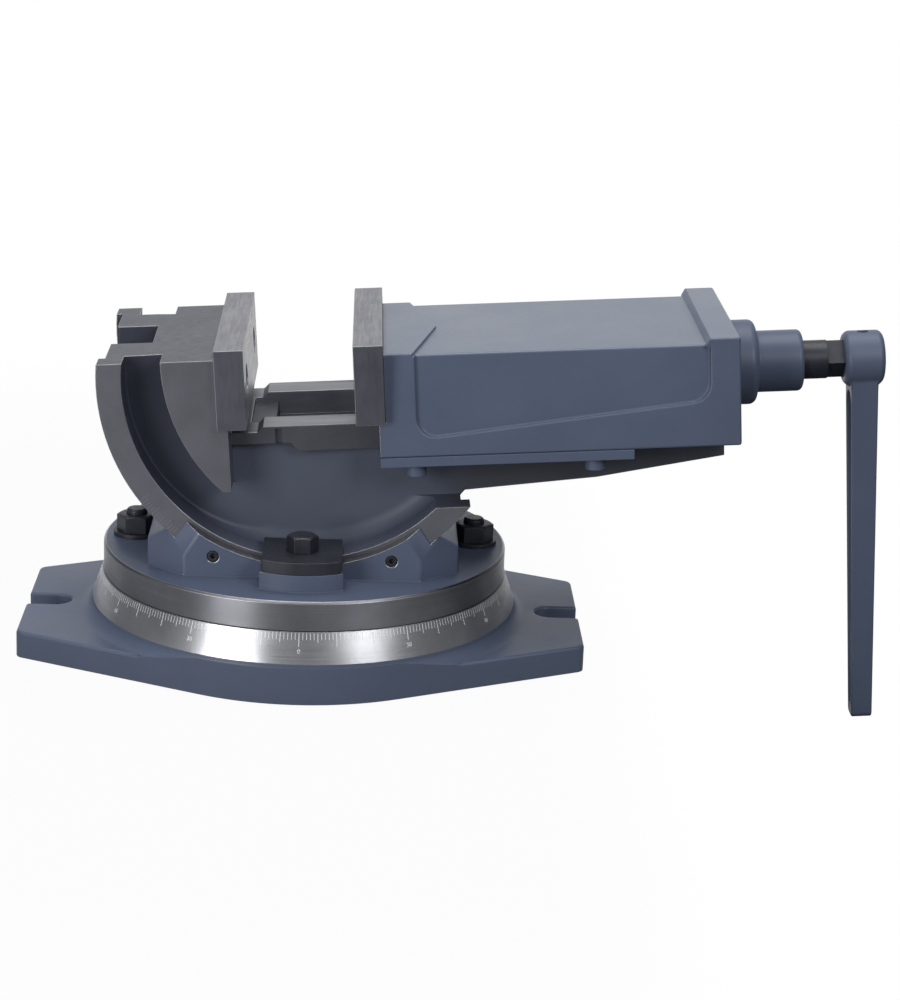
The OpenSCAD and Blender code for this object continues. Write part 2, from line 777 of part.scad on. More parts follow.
module moving_jaw() {
    hw = slider_top_w / 2 + frame_step;
    color(castpaint) tilted() difference() {
        union() {
            difference() {
                end_view(slider_x, slider_l) slider_section(0);
                side_view(2 * body_w) panel_outline();
            }
            end_view(slider_x + over, slider_l - 2 * over) slider_section(frame_step);
            intersection() {
                end_view(slider_x - slider_ledge, slider_ledge + over) slider_section(0);
                translate([slider_x - slider_ledge, -body_w, slider_low]) cube([slider_l, 2 * body_w, jaw_low - slider_low]);
            }
            // raised head behind the plate, with an arrow-shaped end
            translate([slider_x, 0, slider_top - over]) linear_extrude(head_step + over)
                polygon([[0, -hw], [head_land, -hw], [head_apex, 0], [head_land, hw], [0, hw]]);
            // raised rib across the crank end
            side_view(2 * hw) polygon([
                [slider_end_x - rib_l - rib_back, slider_top - over], [slider_end_x - rib_l - rib_back, slider_top],
                [slider_end_x - rib_l, slider_top + rib_step], [slider_end_x, slider_top + rib_step],
                [slider_end_x, slider_top - over]]);
            translate([slider_end_x, 0, screw_h]) rotate([0, 90, 0]) rotate_extrude() boss_profile();
        }
        // room for the rails, all along
        translate([slider_x - slider_ledge - over, -ways_w / 2 - skirt_fit, slider_low - over])
            cube([slider_l + slider_ledge + 2 * over, ways_w + 2 * skirt_fit, ways_h + slide_fit - slider_low + over]);
        // hollow for the nut: a throat between the soles, wider above them
        translate([slider_x + cavity_x0, -cavity_throat_w / 2, ways_h])
            cube([slider_l - cavity_x0 - cavity_end_t, cavity_throat_w, slider_h - cavity_roof_t]);
        translate([slider_x + cavity_x0, cavity_wall_t - hw, ways_h + cavity_sole_h])
            cube([slider_l - cavity_x0 - cavity_end_t, 2 * (hw - cavity_wall_t), slider_h - cavity_roof_t - cavity_sole_h]);
        translate([0, 0, screw_h]) {
            bar_x(end_wall_x - over, nose_x, journal_d / 2 + run_fit);
            bar_x(nose_x - ring_pocket_l, ring_pocket_l + over, ring_d / 2 + 2 * bolt_fit);
        }
        for (s = [-1, 1]) translate([slider_x - over, s * jaw_screw_pitch / 2, jaw_mid])
            rotate([0, 90, 0]) cylinder(h = jaw_thread_l + 2 * over, r = jaw_screw_d / 2 + bolt_fit);
        keeper_bolt_places() translate([0, 0, slider_low - over])
            cylinder(h = keeper_thread_l + 2 * over, r = keeper_bolt_d / 2 + bolt_fit);
    }
}

module keeper_bolt_places() {
    for (x = [keeper_bolt_x0, keeper_bolt_x1], s = [-1, 1])
        translate([slider_x - slider_ledge + x, s * keeper_bolt_y, 0]) children();
}

module keeper() {
    outer = slider_low_hw;
    color(castpaint) tilted() difference() {
        translate([slider_x - slider_ledge, -outer, slider_low - keeper_t])
            cube([keeper_l, outer - keeper_hook, keeper_t]);
        keeper_bolt_places() translate([0, 0, slider_low - keeper_t - over])
            cylinder(h = keeper_t + 2 * over, r = keeper_bolt_d / 2 + bolt_fit);
    }
}

module keeper_front() {
    keeper();
}

module keeper_back() {
    mirror([0, 1, 0]) keeper();
}

module keeper_bolts() {
    color(castpaint) tilted() keeper_bolt_places() translate([0, 0, slider_low - keeper_t])
        rotate([180, 0, 0]) cap_screw(keeper_bolt_d, keeper_t + keeper_thread_l);
}

module nut_screw_places() {
    for (i = [-1, 1], s = [-1, 1])
        translate([nut_x + nut_l / 2 + i * nut_screw_pitch_x / 2, s * nut_screw_pitch_y / 2, 0]) children();
}

module lead_nut() {
    foot_w = bed_slot_w - 2 * nut_foot_fit;
    foot_low = ways_h - bed_slot_h;
    color(bronze) tilted() difference() {
        union() {
            translate([nut_x + nut_l / 2 - nut_foot_l / 2, -foot_w / 2, foot_low]) cube([nut_foot_l, foot_w, nut_foot_t]);
            translate([nut_x, -nut_neck_w / 2, foot_low]) cube([nut_l, nut_neck_w, screw_h - foot_low]);
            translate([0, 0, screw_h]) bar_x(nut_x, nut_l, nut_r);
        }
        translate([0, 0, screw_h]) bar_x(nut_x - over, nut_l + 2 * over, thread_d / 2 + run_fit);
        nut_screw_places() translate([0, 0, foot_low - over])
            cylinder(h = nut_foot_t + 2 * over, r = nut_screw_d / 2 + bolt_fit);
    }
}

module lead_nut_screws() {
    color(blacking) tilted() nut_screw_places() translate([0, 0, ways_h - bed_slot_h + nut_foot_t])
        cap_screw(nut_screw_d, nut_foot_t + nut_thread_l);
}

// Everything that turns with the screw is drawn along its own axis
module on_screw() {
    tilted() translate([0, 0, screw_h]) children();
}

module drive_square(x0, l, af) {
    translate([x0, 0, 0]) rotate([45, 0, 0]) translate([0, -af / 2, -af / 2]) cube([l, af, af]);
}

module lead_screw() {
    pin_x = nose_x - ring_t / 2 - slide_fit;
    relief = thread_relief_share * thread_pitch;
    color(blacking) on_screw() difference() {
        union() {
            bar_x(thread_start, collar_x - thread_start - relief, thread_d / 2);
            bar_x(thread_start + over, collar_x - thread_start, thread_d / 2 - thread_core_share * thread_pitch);
            bar_x(collar_x, collar_t, collar_d / 2);
            bar_x(collar_x + collar_t - over, drive_x - collar_x - collar_t + over, journal_d / 2);
            intersection() {
                drive_square(drive_x - over, screw_end - drive_x + over, drive_af);
                bar_x(drive_x - 2 * over, screw_end - drive_x + 3 * over, journal_d / 2 - 2 * run_fit);
            }
        }
        translate([pin_x, 0, 0]) cylinder(h = 2 * ring_d, r = ring_pin_d / 2, center = true);
    }
}

module thrust_washer() {
    color(bronze) on_screw() difference() {
        bar_x(end_wall_x - thrust_washer_t + slide_fit / 2, thrust_washer_t - slide_fit, collar_d / 2);
        bar_x(end_wall_x - 2 * thrust_washer_t, 3 * thrust_washer_t, journal_d / 2 + bolt_fit);
    }
}

// Ball race between the boss and the thrust ring
module thrust_bearing() {
    x0 = nose_x - ring_pocket_l;
    race_t = (bearing_t - bearing_ball_d) / 2 + bearing_ball_d / 5;
    ball_r = bearing_ball_d / 2;
    mid_r = (journal_d + ring_d) / 4 + bolt_fit;
    color(steelgrey) on_screw() difference() {
        bar_x(x0 + slide_fit, bearing_t, ring_d / 2);
        bar_x(x0 - over, bearing_t + 2 * over, journal_d / 2 + bolt_fit);
        translate([x0 + slide_fit + bearing_t / 2, 0, 0]) rotate([0, 90, 0]) rotate_extrude()
            translate([ring_d / 2 - ball_r / 2, -ball_r / 2]) square([ball_r, ball_r]);
    }
}

module thrust_ring() {
    color(blacking) on_screw() difference() {
        bar_x(nose_x - ring_t - slide_fit, ring_t, ring_d / 2);
        bar_x(nose_x - ring_t - over, ring_t + 2 * over, journal_d / 2 + run_fit);
        translate([nose_x - ring_t / 2 - slide_fit, 0, 0])
            cylinder(h = 2 * ring_d, r = ring_pin_d / 2, center = true);
    }
}

module thrust_ring_pin() {
    color(steelgrey) on_screw() translate([nose_x - ring_t / 2 - slide_fit, 0, 0])
        cylinder(h = ring_d - 2 * over, r = ring_pin_d / 2 - run_fit, center = true);
}

// Arm outline seen along the screw, hanging down from the hub
module arm_front_outline() {
    t = arm_w / 2;
    e = arm_w * arm_tip_w_share / 2;
    polygon(concat([[t, 0], [-t, 0]],
                   arc([-e + arm_tip_r, -crank_l + arm_tip_r], arm_tip_r, 180, 270, 6),
                   arc([e - arm_tip_r, -crank_l + arm_tip_r], arm_tip_r, 270, 360, 6)));
}

module arm_side_outline(x, grow) {
    t = arm_t / 2;
    e = arm_t * arm_tip_share / 2;
    polygon([[x - t, grow], [x + t, grow], [x + arm_lean + e, -crank_l - grow], [x + arm_lean - e, -crank_l - grow]]);
}

module arm_channel_outline() {
    top = -hub_d / 2 - arm_land;
    low = -crank_l + 2 * arm_tip_r;
    t = arm_w / 2 - arm_land;
    e = arm_w * arm_tip_w_share / 2 - arm_land;
    polygon(concat(arc([0, top - t], t, 0, 180, 12), [[-e, low], [e, low]]));
}

module crank_handle() {
    x = hub_x + hub_l / 2;
    web = arm_t * arm_web_share;
    r = hub_d / 2;
    color(castpaint) on_screw() difference() {
        union() {
            translate([hub_x, 0, 0]) rotate([0, 90, 0]) rotate_extrude()
                polygon([[0, 0], [r - hub_edge, 0], [r, hub_edge], [r, hub_l - hub_edge], [r - hub_edge, hub_l], [0, hub_l]]);
            intersection() {
                end_view(x - arm_t, 2 * arm_t) arm_front_outline();
                side_view(2 * arm_w) arm_side_outline(x, over);
            }
        }
        for (s = [-1, 1]) end_view(s > 0 ? x + web / 2 : x - web / 2 - arm_t, arm_t) arm_channel_outline();
        drive_square(hub_x - over, hub_l + 2 * over, drive_af + 2 * drive_fit);
        translate([x, 0, 0]) cylinder(h = r + over, r = crank_pin_d / 2 + bolt_fit);
    }
}

// Grub screw that holds the crank on the square
module crank_set_screw() {
    x = hub_x + hub_l / 2;
    low = journal_d / 2 - 2 * run_fit;
    color(blacking) on_screw() translate([x, 0, low]) difference() {
        cylinder(h = hub_d / 2 - low - hub_edge / 2, r = crank_pin_d / 2);
        translate([0, 0, (hub_d / 2 - low) / 2]) cylinder(h = hub_d, r = set_socket_share * crank_pin_d / 2 / cos(30), $fn = 6);
    }
}

base_casting();
pivot_pin();
swivel_table();
t_bolts();
swivel_washers();
swivel_nuts();
clamp_front();
clamp_back();
clamp_bolts();
cradle_set_screws();
tilt_body();
fixed_jaw_plate();
fixed_jaw_screws();
lead_nut();
lead_nut_screws();
moving_jaw();
moving_jaw_plate();
moving_jaw_screws();
keeper_front();
keeper_back();
keeper_bolts();
thrust_washer();
lead_screw();
thrust_bearing();
thrust_ring();
thrust_ring_pin();
crank_handle();
crank_set_screw();
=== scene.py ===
import json
import math
import bmesh
import bpy
from mathutils import Matrix, Vector
from mathutils.bvhtree import BVHTree


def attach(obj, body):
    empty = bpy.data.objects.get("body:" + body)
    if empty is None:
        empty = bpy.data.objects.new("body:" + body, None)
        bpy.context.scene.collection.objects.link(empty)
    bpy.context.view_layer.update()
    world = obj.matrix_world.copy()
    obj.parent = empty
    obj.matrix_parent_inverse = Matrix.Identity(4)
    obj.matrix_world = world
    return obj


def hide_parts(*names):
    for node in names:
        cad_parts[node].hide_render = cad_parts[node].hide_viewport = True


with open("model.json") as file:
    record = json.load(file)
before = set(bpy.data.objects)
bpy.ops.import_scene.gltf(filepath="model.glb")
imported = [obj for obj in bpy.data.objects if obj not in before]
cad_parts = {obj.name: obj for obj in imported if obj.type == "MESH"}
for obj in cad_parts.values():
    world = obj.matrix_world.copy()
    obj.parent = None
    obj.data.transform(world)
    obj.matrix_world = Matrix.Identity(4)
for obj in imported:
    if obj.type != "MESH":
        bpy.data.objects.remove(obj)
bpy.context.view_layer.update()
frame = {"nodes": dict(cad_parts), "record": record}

MM = 0.001

# ---- sizes of the vise, as part.scad draws it

# Base and swivel table: heights over the base's underside, radii about the swivel axis
TSLOT_FLOOR = 10 * MM                       # floor of the ring T-slot
FOOT_Z, CONE_R0 = 19.6 * MM, 103 * MM       # the degree ring's cone, at its foot
CONE_Z, CONE_R1 = 33.7 * MM, 98.1 * MM      # and at its top
TABLE_Z, RIM_TOP = 33.8 * MM, 47.8 * MM     # the table's underside and the top of its rim
RIM_IN = 96.6 * MM                          # inside of the bevel on the rim
SET_X, SET_Z = 41.5 * MM, 57.5 * MM         # holes of the cradle's set screws
SET_MOUTH_R = 4.2 * MM

# Head: places in its own level frame, which has the tilt axis at its origin
TILT_Z = 141 * MM                           # height of the tilt axis in the world
TILT = math.radians(3.9)                    # the head's tilt at rest
FLANGE_R, LIP_R = 96.5 * MM, 87 * MM        # the flanges, and the cradle's lips beside them
BODY_Y = 58.5 * MM                          # half the width over both flanges
WAYS_X, WAYS_Y, WAYS_Z = -45 * MM, 42 * MM, -25 * MM    # start, half width and top of the ways
RAIL_T, RAIL_STEP = 13 * MM, 3 * MM         # the rails under the ways, and their lower part
SLOT_Y, SLOT_FLOOR = 24 * MM, -70 * MM      # the slot between the ways
TOP_Z = 11.6 * MM                           # top of the fixed jaw
SLIDER_X, SLIDER_END = 35.4 * MM, 200 * MM  # the sliding jaw at rest, without its boss
SLIDER_TOP, BOSS_END = 9.4 * MM, 235.9 * MM
HOLLOW_Y = 44 * MM                          # half the width of the hollow under it
SCREW_Z, THREAD_X0, THREAD_X1 = -12.5 * MM, 53.4 * MM, 176.6 * MM
THREAD_R, THREAD_PITCH = 10 * MM, 4 * MM
THREAD_MID_Z = 130 * MM                     # the thread's height in the world, about

# World to the head's level frame, and back
HEAD_BODIES = ("tilt", "jaw", "screw")
LEVEL = Matrix.Rotation(TILT, 4, "Y") @ Matrix.Translation((0, 0, -TILT_Z))
RAISED = LEVEL.inverted()


# ---- helpers for objects, meshes and node trees

def linked(name, data):
    """A new object in the scene that holds a mesh, a curve, a lamp or the camera."""
    item = bpy.data.objects.new(name, data)
    bpy.context.scene.collection.objects.link(item)
    return item


def bmesh_of(*meshes):
    bm = bmesh.new()
    for mesh in meshes:
        bm.from_mesh(mesh)
    return bm


def into_mesh(bm, mesh):
    bm.to_mesh(mesh)
    bm.free()
    return mesh


def result_mesh(item):
    """What an object's modifiers, or its curve, come to as a plain mesh."""
    bpy.context.view_layer.update()
    seen = item.evaluated_get(bpy.context.evaluated_depsgraph_get())
    return bpy.data.meshes.new_from_object(seen)


def applied(item):
    """Turns the modifiers' result into the item's own plain mesh."""
    done = result_mesh(item)
    item.modifiers.clear()
    item.data = done


class Tree:
    """A node tree filled step by step."""

    def __init__(self, tree):
        self.tree = tree
        self.tree.nodes.clear()

    def node(self, kind, inputs=None, **settings):
        n = self.tree.nodes.new(kind)
        for key, value in settings.items():
            setattr(n, key, value)
        for key, value in (inputs or {}).items():
            if hasattr(value, "links"):
                self.tree.links.new(value, n.inputs[key])
            else:
                n.inputs[key].default_value = value
        return n

    def math(self, op, a, b, clamp=False):
        return self.node("ShaderNodeMath", {0: a, 1: b}, operation=op, use_clamp=clamp).outputs[0]

    def span(self, value, a, b, low=0.0, high=1.0, kind="LINEAR"):
        """The value's way from a to b, as a way from low to high."""
        return self.node("ShaderNodeMapRange", {"Value": value, "From Min": a, "From Max": b,
                                                "To Min": low, "To Max": high},
                         interpolation_type=kind).outputs[0]

    def smooth(self, value, a, b):
        return self.span(value, a, b, kind="SMOOTHSTEP")

    def mirrored(self, path):
        """1 where the light path has come by way of a reflection."""
        return self.math("MAXIMUM", path["Is Glossy Ray"], path["Is Transmission Ray"])


# ---- camera and studio

# The photograph's camera, fitted to the vise: degrees, then metres in its own axes from its aim
CAMERA_PITCH, CAMERA_ROLL, CAMERA_YAW = 16.68, -2.24, 2.10
CAMERA_STAND, CAMERA_AIM = (0.07096, -1.32465, 0.02585), (0, 0, 0.04)
SENSOR, LENS, CLIP_END = 36, 97.44, 20

# Place, aim and size in metres, and watts
LAMPS = {
    "lamp_above": ((0.0, 0.15, 1.3), (0.05, 0, 0.1), (1.1, 0.8), 10),
    "lamp_left": ((-0.80, -1.06, 0.30), (0, 0, 0.06), (0.56, 0.7), 9),
    "lamp_right": ((0.76, -1.02, 0.80), (0.03, 0, 0.06), (0.44, 0.5), 6.2),
}

# Ranges of a direction's Y, to the back, and its Z over which the room brightens, and by what
BEHIND_Y, BEHIND_Z, BEHIND_LIGHT = (0.62, 0.93), (-0.05, 0.08), 0.30
ABOVE_Z, ABOVE_LIGHT = (0.35, 0.95), 0.45
LEVEL_Z, LEVEL_LIGHT = (-0.4, 0.1), (0.05, 0.15)
STRAIGHT_Y = (0.84, 0.95)                   # for gloss, over which it turns to the white sweep
ROOM_COLOUR, WHITE, TABLE_COLOUR = (0.92, 0.95, 1, 1), (1, 1, 1, 1), (0.28, 0.29, 0.31, 1)

# The table in the scene: its edges, how far it lies below the vise, the widths over which it
# fades to white at the crank's edge and the others, and how white it is inside them
TABLE_X, TABLE_Y, TABLE_DROP = (-0.62, 0.19), (-0.62, 0.62), 0.0002
CRANK_FADE, SIDE_FADE, TABLE_WHITE = 0.09, 0.35, 0.96
# How white it is in a reflection, from this Y to that
SHEEN_Y, SHEEN = (0.05, 0.42), (0.22, 1.0)


def place_camera():
    pitch, roll, yaw = (math.radians(a) for a in (CAMERA_PITCH, CAMERA_ROLL, CAMERA_YAW))
    turn = (Matrix.Rotation(-roll, 3, "Y") @ Matrix.Rotation(pitch, 3, "X")
            @ Matrix.Rotation(yaw, 3, "Z"))
    back = turn.transposed()
    right, ahead, up = (back @ Vector(v) for v in ((1, 0, 0), (0, 1, 0), (0, 0, 1)))
    lens = bpy.data.cameras.new("camera")
    lens.sensor_width, lens.lens, lens.clip_end = SENSOR, LENS, CLIP_END
    camera = linked("camera", lens)
    place = Matrix((right, up, -ahead)).transposed().to_4x4()
    place.translation = back @ Vector(CAMERA_STAND) + Vector(CAMERA_AIM)
    camera.matrix_world = place
    bpy.context.scene.camera = camera


def soft_lamp(name, place, aim, size, power):
    lamp = bpy.data.lights.new(name, "AREA")
    lamp.shape = "RECTANGLE"
    lamp.size, lamp.size_y = size
    lamp.energy = power
    item = linked(name, lamp)
    item.location = place
    item.rotation_euler = (Vector(aim) - Vector(place)).to_track_quat("-Z", "Y").to_euler()


def studio():
    """White behind the vise and above it, dimmer in front of it, as in front of a paper sweep."""
    world = bpy.data.worlds.new("studio")
    bpy.context.scene.world = world
    world.use_nodes = True
    t = Tree(world.node_tree)
    way = t.node("ShaderNodeTexCoord").outputs["Generated"]
    _, back, up = t.node("ShaderNodeSeparateXYZ", {0: way}).outputs
    behind = t.math("MULTIPLY", t.smooth(back, *BEHIND_Y), t.span(up, *BEHIND_Z))
    above = t.smooth(up, *ABOVE_Z)
    light = t.math("ADD", t.math("MULTIPLY", behind, BEHIND_LIGHT),
                   t.math("MULTIPLY", above, ABOVE_LIGHT))
    light = t.math("ADD", light, t.span(up, *LEVEL_Z, *LEVEL_LIGHT))
    room = t.node("ShaderNodeBackground", {"Color": ROOM_COLOUR, "Strength": light})
    sweep = t.node("ShaderNodeBackground", {"Color": WHITE, "Strength": 1.0})
    # seen in gloss, the white sweep is only what stands straight behind the vise
    path = t.node("ShaderNodeLightPath").outputs
    straight = t.math("MULTIPLY", t.mirrored(path), t.smooth(back, *STRAIGHT_Y))
    seen = t.math("ADD", path["Is Camera Ray"], straight, clamp=True)
    mix = t.node("ShaderNodeMixShader", {"Fac": seen, 1: room.outputs[0], 2: sweep.outputs[0]})
    t.node("ShaderNodeOutputWorld", {"Surface": mix.outputs[0]})
    for name, lamp in LAMPS.items():
        soft_lamp(name, *lamp)
    bpy.context.scene.view_settings.view_transform = "Standard"


def table_top():
    """A pale table whose edge ends short of the hanging crank. It turns into the white
    of the sweep towards its edges."""
    bm = bmesh.new()
    bmesh.ops.create_grid(bm, x_segments=2, y_segments=2, size=1)
    (x0, x1), (y0, y1) = TABLE_X, TABLE_Y
    for v in bm.verts:
        v.co = Vector(((x0 + x1 + v.co.x * (x1 - x0)) / 2, (y0 + y1 + v.co.y * (y1 - y0)) / 2,
                       -TABLE_DROP))
    mesh = into_mesh(bm, bpy.data.meshes.new("table_top"))
    top = linked("table_top", mesh)
    m = bpy.data.materials.new("pale_table")
    m.use_nodes = True
    t = Tree(m.node_tree)
    where = t.node("ShaderNodeTexCoord").outputs["Object"]
    place = t.node("ShaderNodeSeparateXYZ", {0: where}).outputs
    # 0 at an edge, 1 well inside it
    inside = t.smooth(t.math("SUBTRACT", x1, place[0]), 0.0, CRANK_FADE)
    for axis, edge, sign in ((0, x0, 1), (1, y0, 1), (1, y1, -1)):
        gap = t.math("MULTIPLY", t.math("SUBTRACT", place[axis], edge), sign)
        inside = t.math("MULTIPLY", inside, t.smooth(gap, 0.0, SIDE_FADE))
    path = t.node("ShaderNodeLightPath").outputs
    straight = t.math("MULTIPLY", path["Is Camera Ray"], t.span(inside, 0, 1, 1.0, TABLE_WHITE))
    glossy = t.math("MULTIPLY", t.mirrored(path), t.span(place[1], *SHEEN_Y, *SHEEN))
    matt = t.node("ShaderNodeBsdfDiffuse", {"Color": TABLE_COLOUR})
    glow = t.node("ShaderNodeEmission", {"Strength": 1.0})
    mix = t.node("ShaderNodeMixShader", {"Fac": t.math("ADD", straight, glossy),
                                         1: matt.outputs[0], 2: glow.outputs[0]})
    t.node("ShaderNodeOutputMaterial", {"Surface": mix.outputs[0]})
    mesh.materials.append(m)


# ---- finishes

NOISE_LOW, NOISE_HIGH = 0.3, 0.7            # nearly all of a noise lies between these
# Noise scale and detail of clouds of tone and of specks. Tool marks have their scale in their
# coordinates: for turning marks, across the cut and round it.
PAINT_CLOUDS, PAINT_SPECKS = (22, 3), (380, 2)
MILL_CLOUDS, TURN_CLOUDS = (55, 3), (70, 3)
OXIDE_CLOUDS, OXIDE_SPECKS = (110, 3), (900, 2)
TOOL_MARKS = (1.0, 3, 0.6)
TURN_ACROSS, TURN_ALONG = 3400, 1.6
# Shares of a finish's own colour: the darkest and the lightest cloud, and what lies on them
PAINT_SHADES, SPECK_SHADE = (0.95, 1.05), 1.4
OXIDE_SHADES, MARK_SHADE = (0.7, 1.5), 0.6
# How far a roughness goes below and above its middle
PAINT_ROUGH, MILL_ROUGH = (0.04, 0.04), (0.05, 0.09)
TURN_ROUGH, OXIDE_ROUGH = (0.05, 0.07), (0.07, 0.09)
# How much of the paint a speck covers, and how much rougher it is
SPECK_COVER, SPECK_ROUGH = 0.05, 0.03
# Strength and depth of a relief, in metres
MILL_RELIEF, TURN_RELIEF, OXIDE_RELIEF = (0.4, 0.00003), (0.3, 0.00002), (0.2, 0.00004)
# The paint's relief: noise scale, detail and roughness, then strength and depth
WAVES = (45, 2, 0.4), 0.22, 0.0007          # soft waves of the casting
PITS = (150, 3, 0.5), 0.10, 0.00016         # its grain
PEEL = (900, 2, 0.5), 0.07, 0.00004         # orange peel of the enamel
# Colour of rubbed oxide, the sharpness of edge over which it comes, its most, and its clouds
RUBBED, RUBBED_EDGE = (0.07, 0.07, 0.08), (0.53, 0.62)
RUB_MOST, RUB_CLOUDS = 0.5, (0.3, 1.0)


class Finish(Tree):
    """A node material with a Principled shader. kind is cast or cut, for the width of its
    edges, or dull, which is cut without bright edges."""

    def __init__(self, name, kind="cut", **uniform):
        self.material = bpy.data.materials.new(name)
        self.material.use_nodes = True
        super().__init__(self.material.node_tree)
        self.kind = kind
        self.skin = self.node("ShaderNodeBsdfPrincipled")
        self.node("ShaderNodeOutputMaterial", {"Surface": self.skin.outputs[0]})
        for key, value in uniform.items():
            self.skin.inputs[key.replace("_", " ")].default_value = value
        self.place = self.node("ShaderNodeTexCoord").outputs["Object"]

    def into(self, source, socket):
        self.tree.links.new(source, self.skin.inputs[socket])

    def stretched(self, scale):
        """Object coordinates, turned level with the head, then scaled along each axis."""
        level = self.node("ShaderNodeMapping", {"Vector": self.place, "Rotation": (0, TILT, 0)})
        return self.node("ShaderNodeMapping", {"Vector": level.outputs[0],
                                               "Scale": scale}).outputs[0]

    def lathe(self, axis, centre):
        """Coordinates for turning marks: fine across the cut, long round it."""
        moved = self.node("ShaderNodeVectorMath", {0: self.place, 1: centre}, operation="SUBTRACT")
        p = self.node("ShaderNodeSeparateXYZ", {0: moved.outputs[0]}).outputs
        a, b, c = (p[i] for i in {"Z": (0, 1, 2), "Y": (0, 2, 1), "X": (1, 2, 0)}[axis])
        flat = self.node("ShaderNodeCombineXYZ", {0: a, 1: b}).outputs[0]
        r = self.node("ShaderNodeVectorMath", {0: flat}, operation="LENGTH").outputs["Value"]
        marks = {0: self.math("MULTIPLY", r, TURN_ACROSS), 1: self.math("MULTIPLY", c, TURN_ACROSS),
                 2: self.math("MULTIPLY", self.math("ARCTAN2", b, a), TURN_ALONG)}
        return self.node("ShaderNodeCombineXYZ", marks).outputs[0]

    def noise(self, where, scale, detail=2.0, rough=0.5):
        return self.node("ShaderNodeTexNoise", {"Vector": where, "Scale": scale, "Detail": detail,
                                                "Roughness": rough}).outputs["Fac"]

    def grey(self, fac, low, high):
        """A noise's own range, as a way from low to high."""
        return self.span(fac, NOISE_LOW, NOISE_HIGH, low, high)

    def rough_around(self, fac, middle, below, above):
        return self.grey(fac, middle - below, middle + above)

    def blend(self, fac, a, b, kind="MIX"):
        """From colour a to colour b, each of them a socket or three numbers."""
        a, b = (c if hasattr(c, "links") else (*c, 1) for c in (a, b))
        return self.node("ShaderNodeMix", {0: fac, 6: a, 7: b}, data_type="RGBA",
                         blend_type=kind).outputs[2]

    def relief(self, *layers):
        """Stacks bump layers, each (height, strength, depth in metres)."""
        normal = None
        for height, strength, depth in layers:
            inputs = {"Height": height, "Strength": strength, "Distance": depth}
            if normal is not None:
                inputs["Normal"] = normal
            normal = self.node("ShaderNodeBump", inputs).outputs[0]
        self.into(normal, "Normal")

    def tooled(self, base, marks, clouds, dark, cut):
        """Bare metal's colour: clouds of tone from a dark share of base up to base itself, and
        over them tool marks that are darker still, by cut at the most."""
        cloud = self.noise(self.place, *clouds)
        tone = self.blend(self.grey(cloud, 0, 1), scaled(base, dark), base)
        tone = self.blend(self.grey(marks, 0.0, cut), tone, scaled(base, MARK_SHADE))
        self.into(tone, "Base Color")


def scaled(colour, k):
    return tuple(min(1.0, c * k) for c in colour)


def casting_paint(name, base, rough=0.40, grain=1.0, gloss=0.38, shade_bands=()):
    """Enamel over cast iron: faint clouds of tone, soft waves of the casting, fine orange peel.
    Each band of painted shade, given as (x start, x end, tint), darkens it along X."""
    f = Finish(name, kind="cast", Specular_IOR_Level=gloss)
    cloud = f.noise(f.place, *PAINT_CLOUDS)
    speck = f.noise(f.place, *PAINT_SPECKS)
    tone = f.blend(f.grey(cloud, 0, 1), *(scaled(base, k) for k in PAINT_SHADES))
    tone = f.blend(f.grey(speck, 0.0, SPECK_COVER), tone, scaled(base, SPECK_SHADE))
    # painted shade, darkening the paint along X
    for start, end, tint in shade_bands:
        x = f.node("ShaderNodeSeparateXYZ", {0: f.place}).outputs[0]
        tone = f.blend(f.smooth(x, start, end), tone, tint, kind="MULTIPLY")
    f.into(tone, "Base Color")
    f.into(f.math("ADD", f.rough_around(cloud, rough, *PAINT_ROUGH),
                  f.grey(speck, 0.0, SPECK_ROUGH)), "Roughness")
    f.relief(*((f.noise(f.place, *noise), strength * grain, depth)
               for noise, strength, depth in (WAVES, PITS, PEEL)))
    return f


def machined(name, base, rough, scale, dark=0.78, cut=0.3, kind="cut", metal=1.0):
    """Milled or ground metal. scale is the noise scale along X, Y and Z of the head's frame."""
    f = Finish(name, kind, Metallic=metal)
    streak = f.noise(f.stretched(scale), *TOOL_MARKS)
    f.tooled(base, streak, MILL_CLOUDS, dark, cut)
    f.into(f.rough_around(streak, rough, *MILL_ROUGH), "Roughness")
    f.relief((streak, *MILL_RELIEF))
    return f


def turned(name, base, rough, axis="Z", centre=(0, 0, 0), sheen=0.5, metal=1.0):
    """Lathe-turned iron, its marks running round an axis."""
    f = Finish(name, Metallic=metal, Anisotropic=sheen, Anisotropic_Rotation=0.25)
    ring = f.noise(f.lathe(axis, centre), *TOOL_MARKS)
    f.tooled(base, ring, TURN_CLOUDS, dark=0.82, cut=0.35)
    f.into(f.rough_around(ring, rough, *TURN_ROUGH), "Roughness")
    f.relief((ring, *TURN_RELIEF))
    if axis == "Z":
        tangent = f.node("ShaderNodeTangent", direction_type="RADIAL", axis="Z")
        f.into(tangent.outputs[0], "Tangent")
    return f


def blacked(name, base, rough):
    """Black oxide, rubbed paler along its sharpest edges."""
    f = Finish(name, kind="dull")
    speck = f.noise(f.place, *OXIDE_SPECKS)
    cloud = f.noise(f.place, *OXIDE_CLOUDS)
    edge = f.node("ShaderNodeNewGeometry").outputs["Pointiness"]
    tone = f.blend(f.grey(cloud, 0, 1), *(scaled(base, k) for k in OXIDE_SHADES))
    rub = f.math("MULTIPLY", f.span(edge, *RUBBED_EDGE, 0, RUB_MOST), f.grey(cloud, *RUB_CLOUDS),
                 clamp=True)
    f.into(f.blend(rub, tone, RUBBED), "Base Color")
    f.into(f.rough_around(speck, rough, *OXIDE_ROUGH), "Roughness")
    f.relief((speck, *OXIDE_RELIEF))
    return f


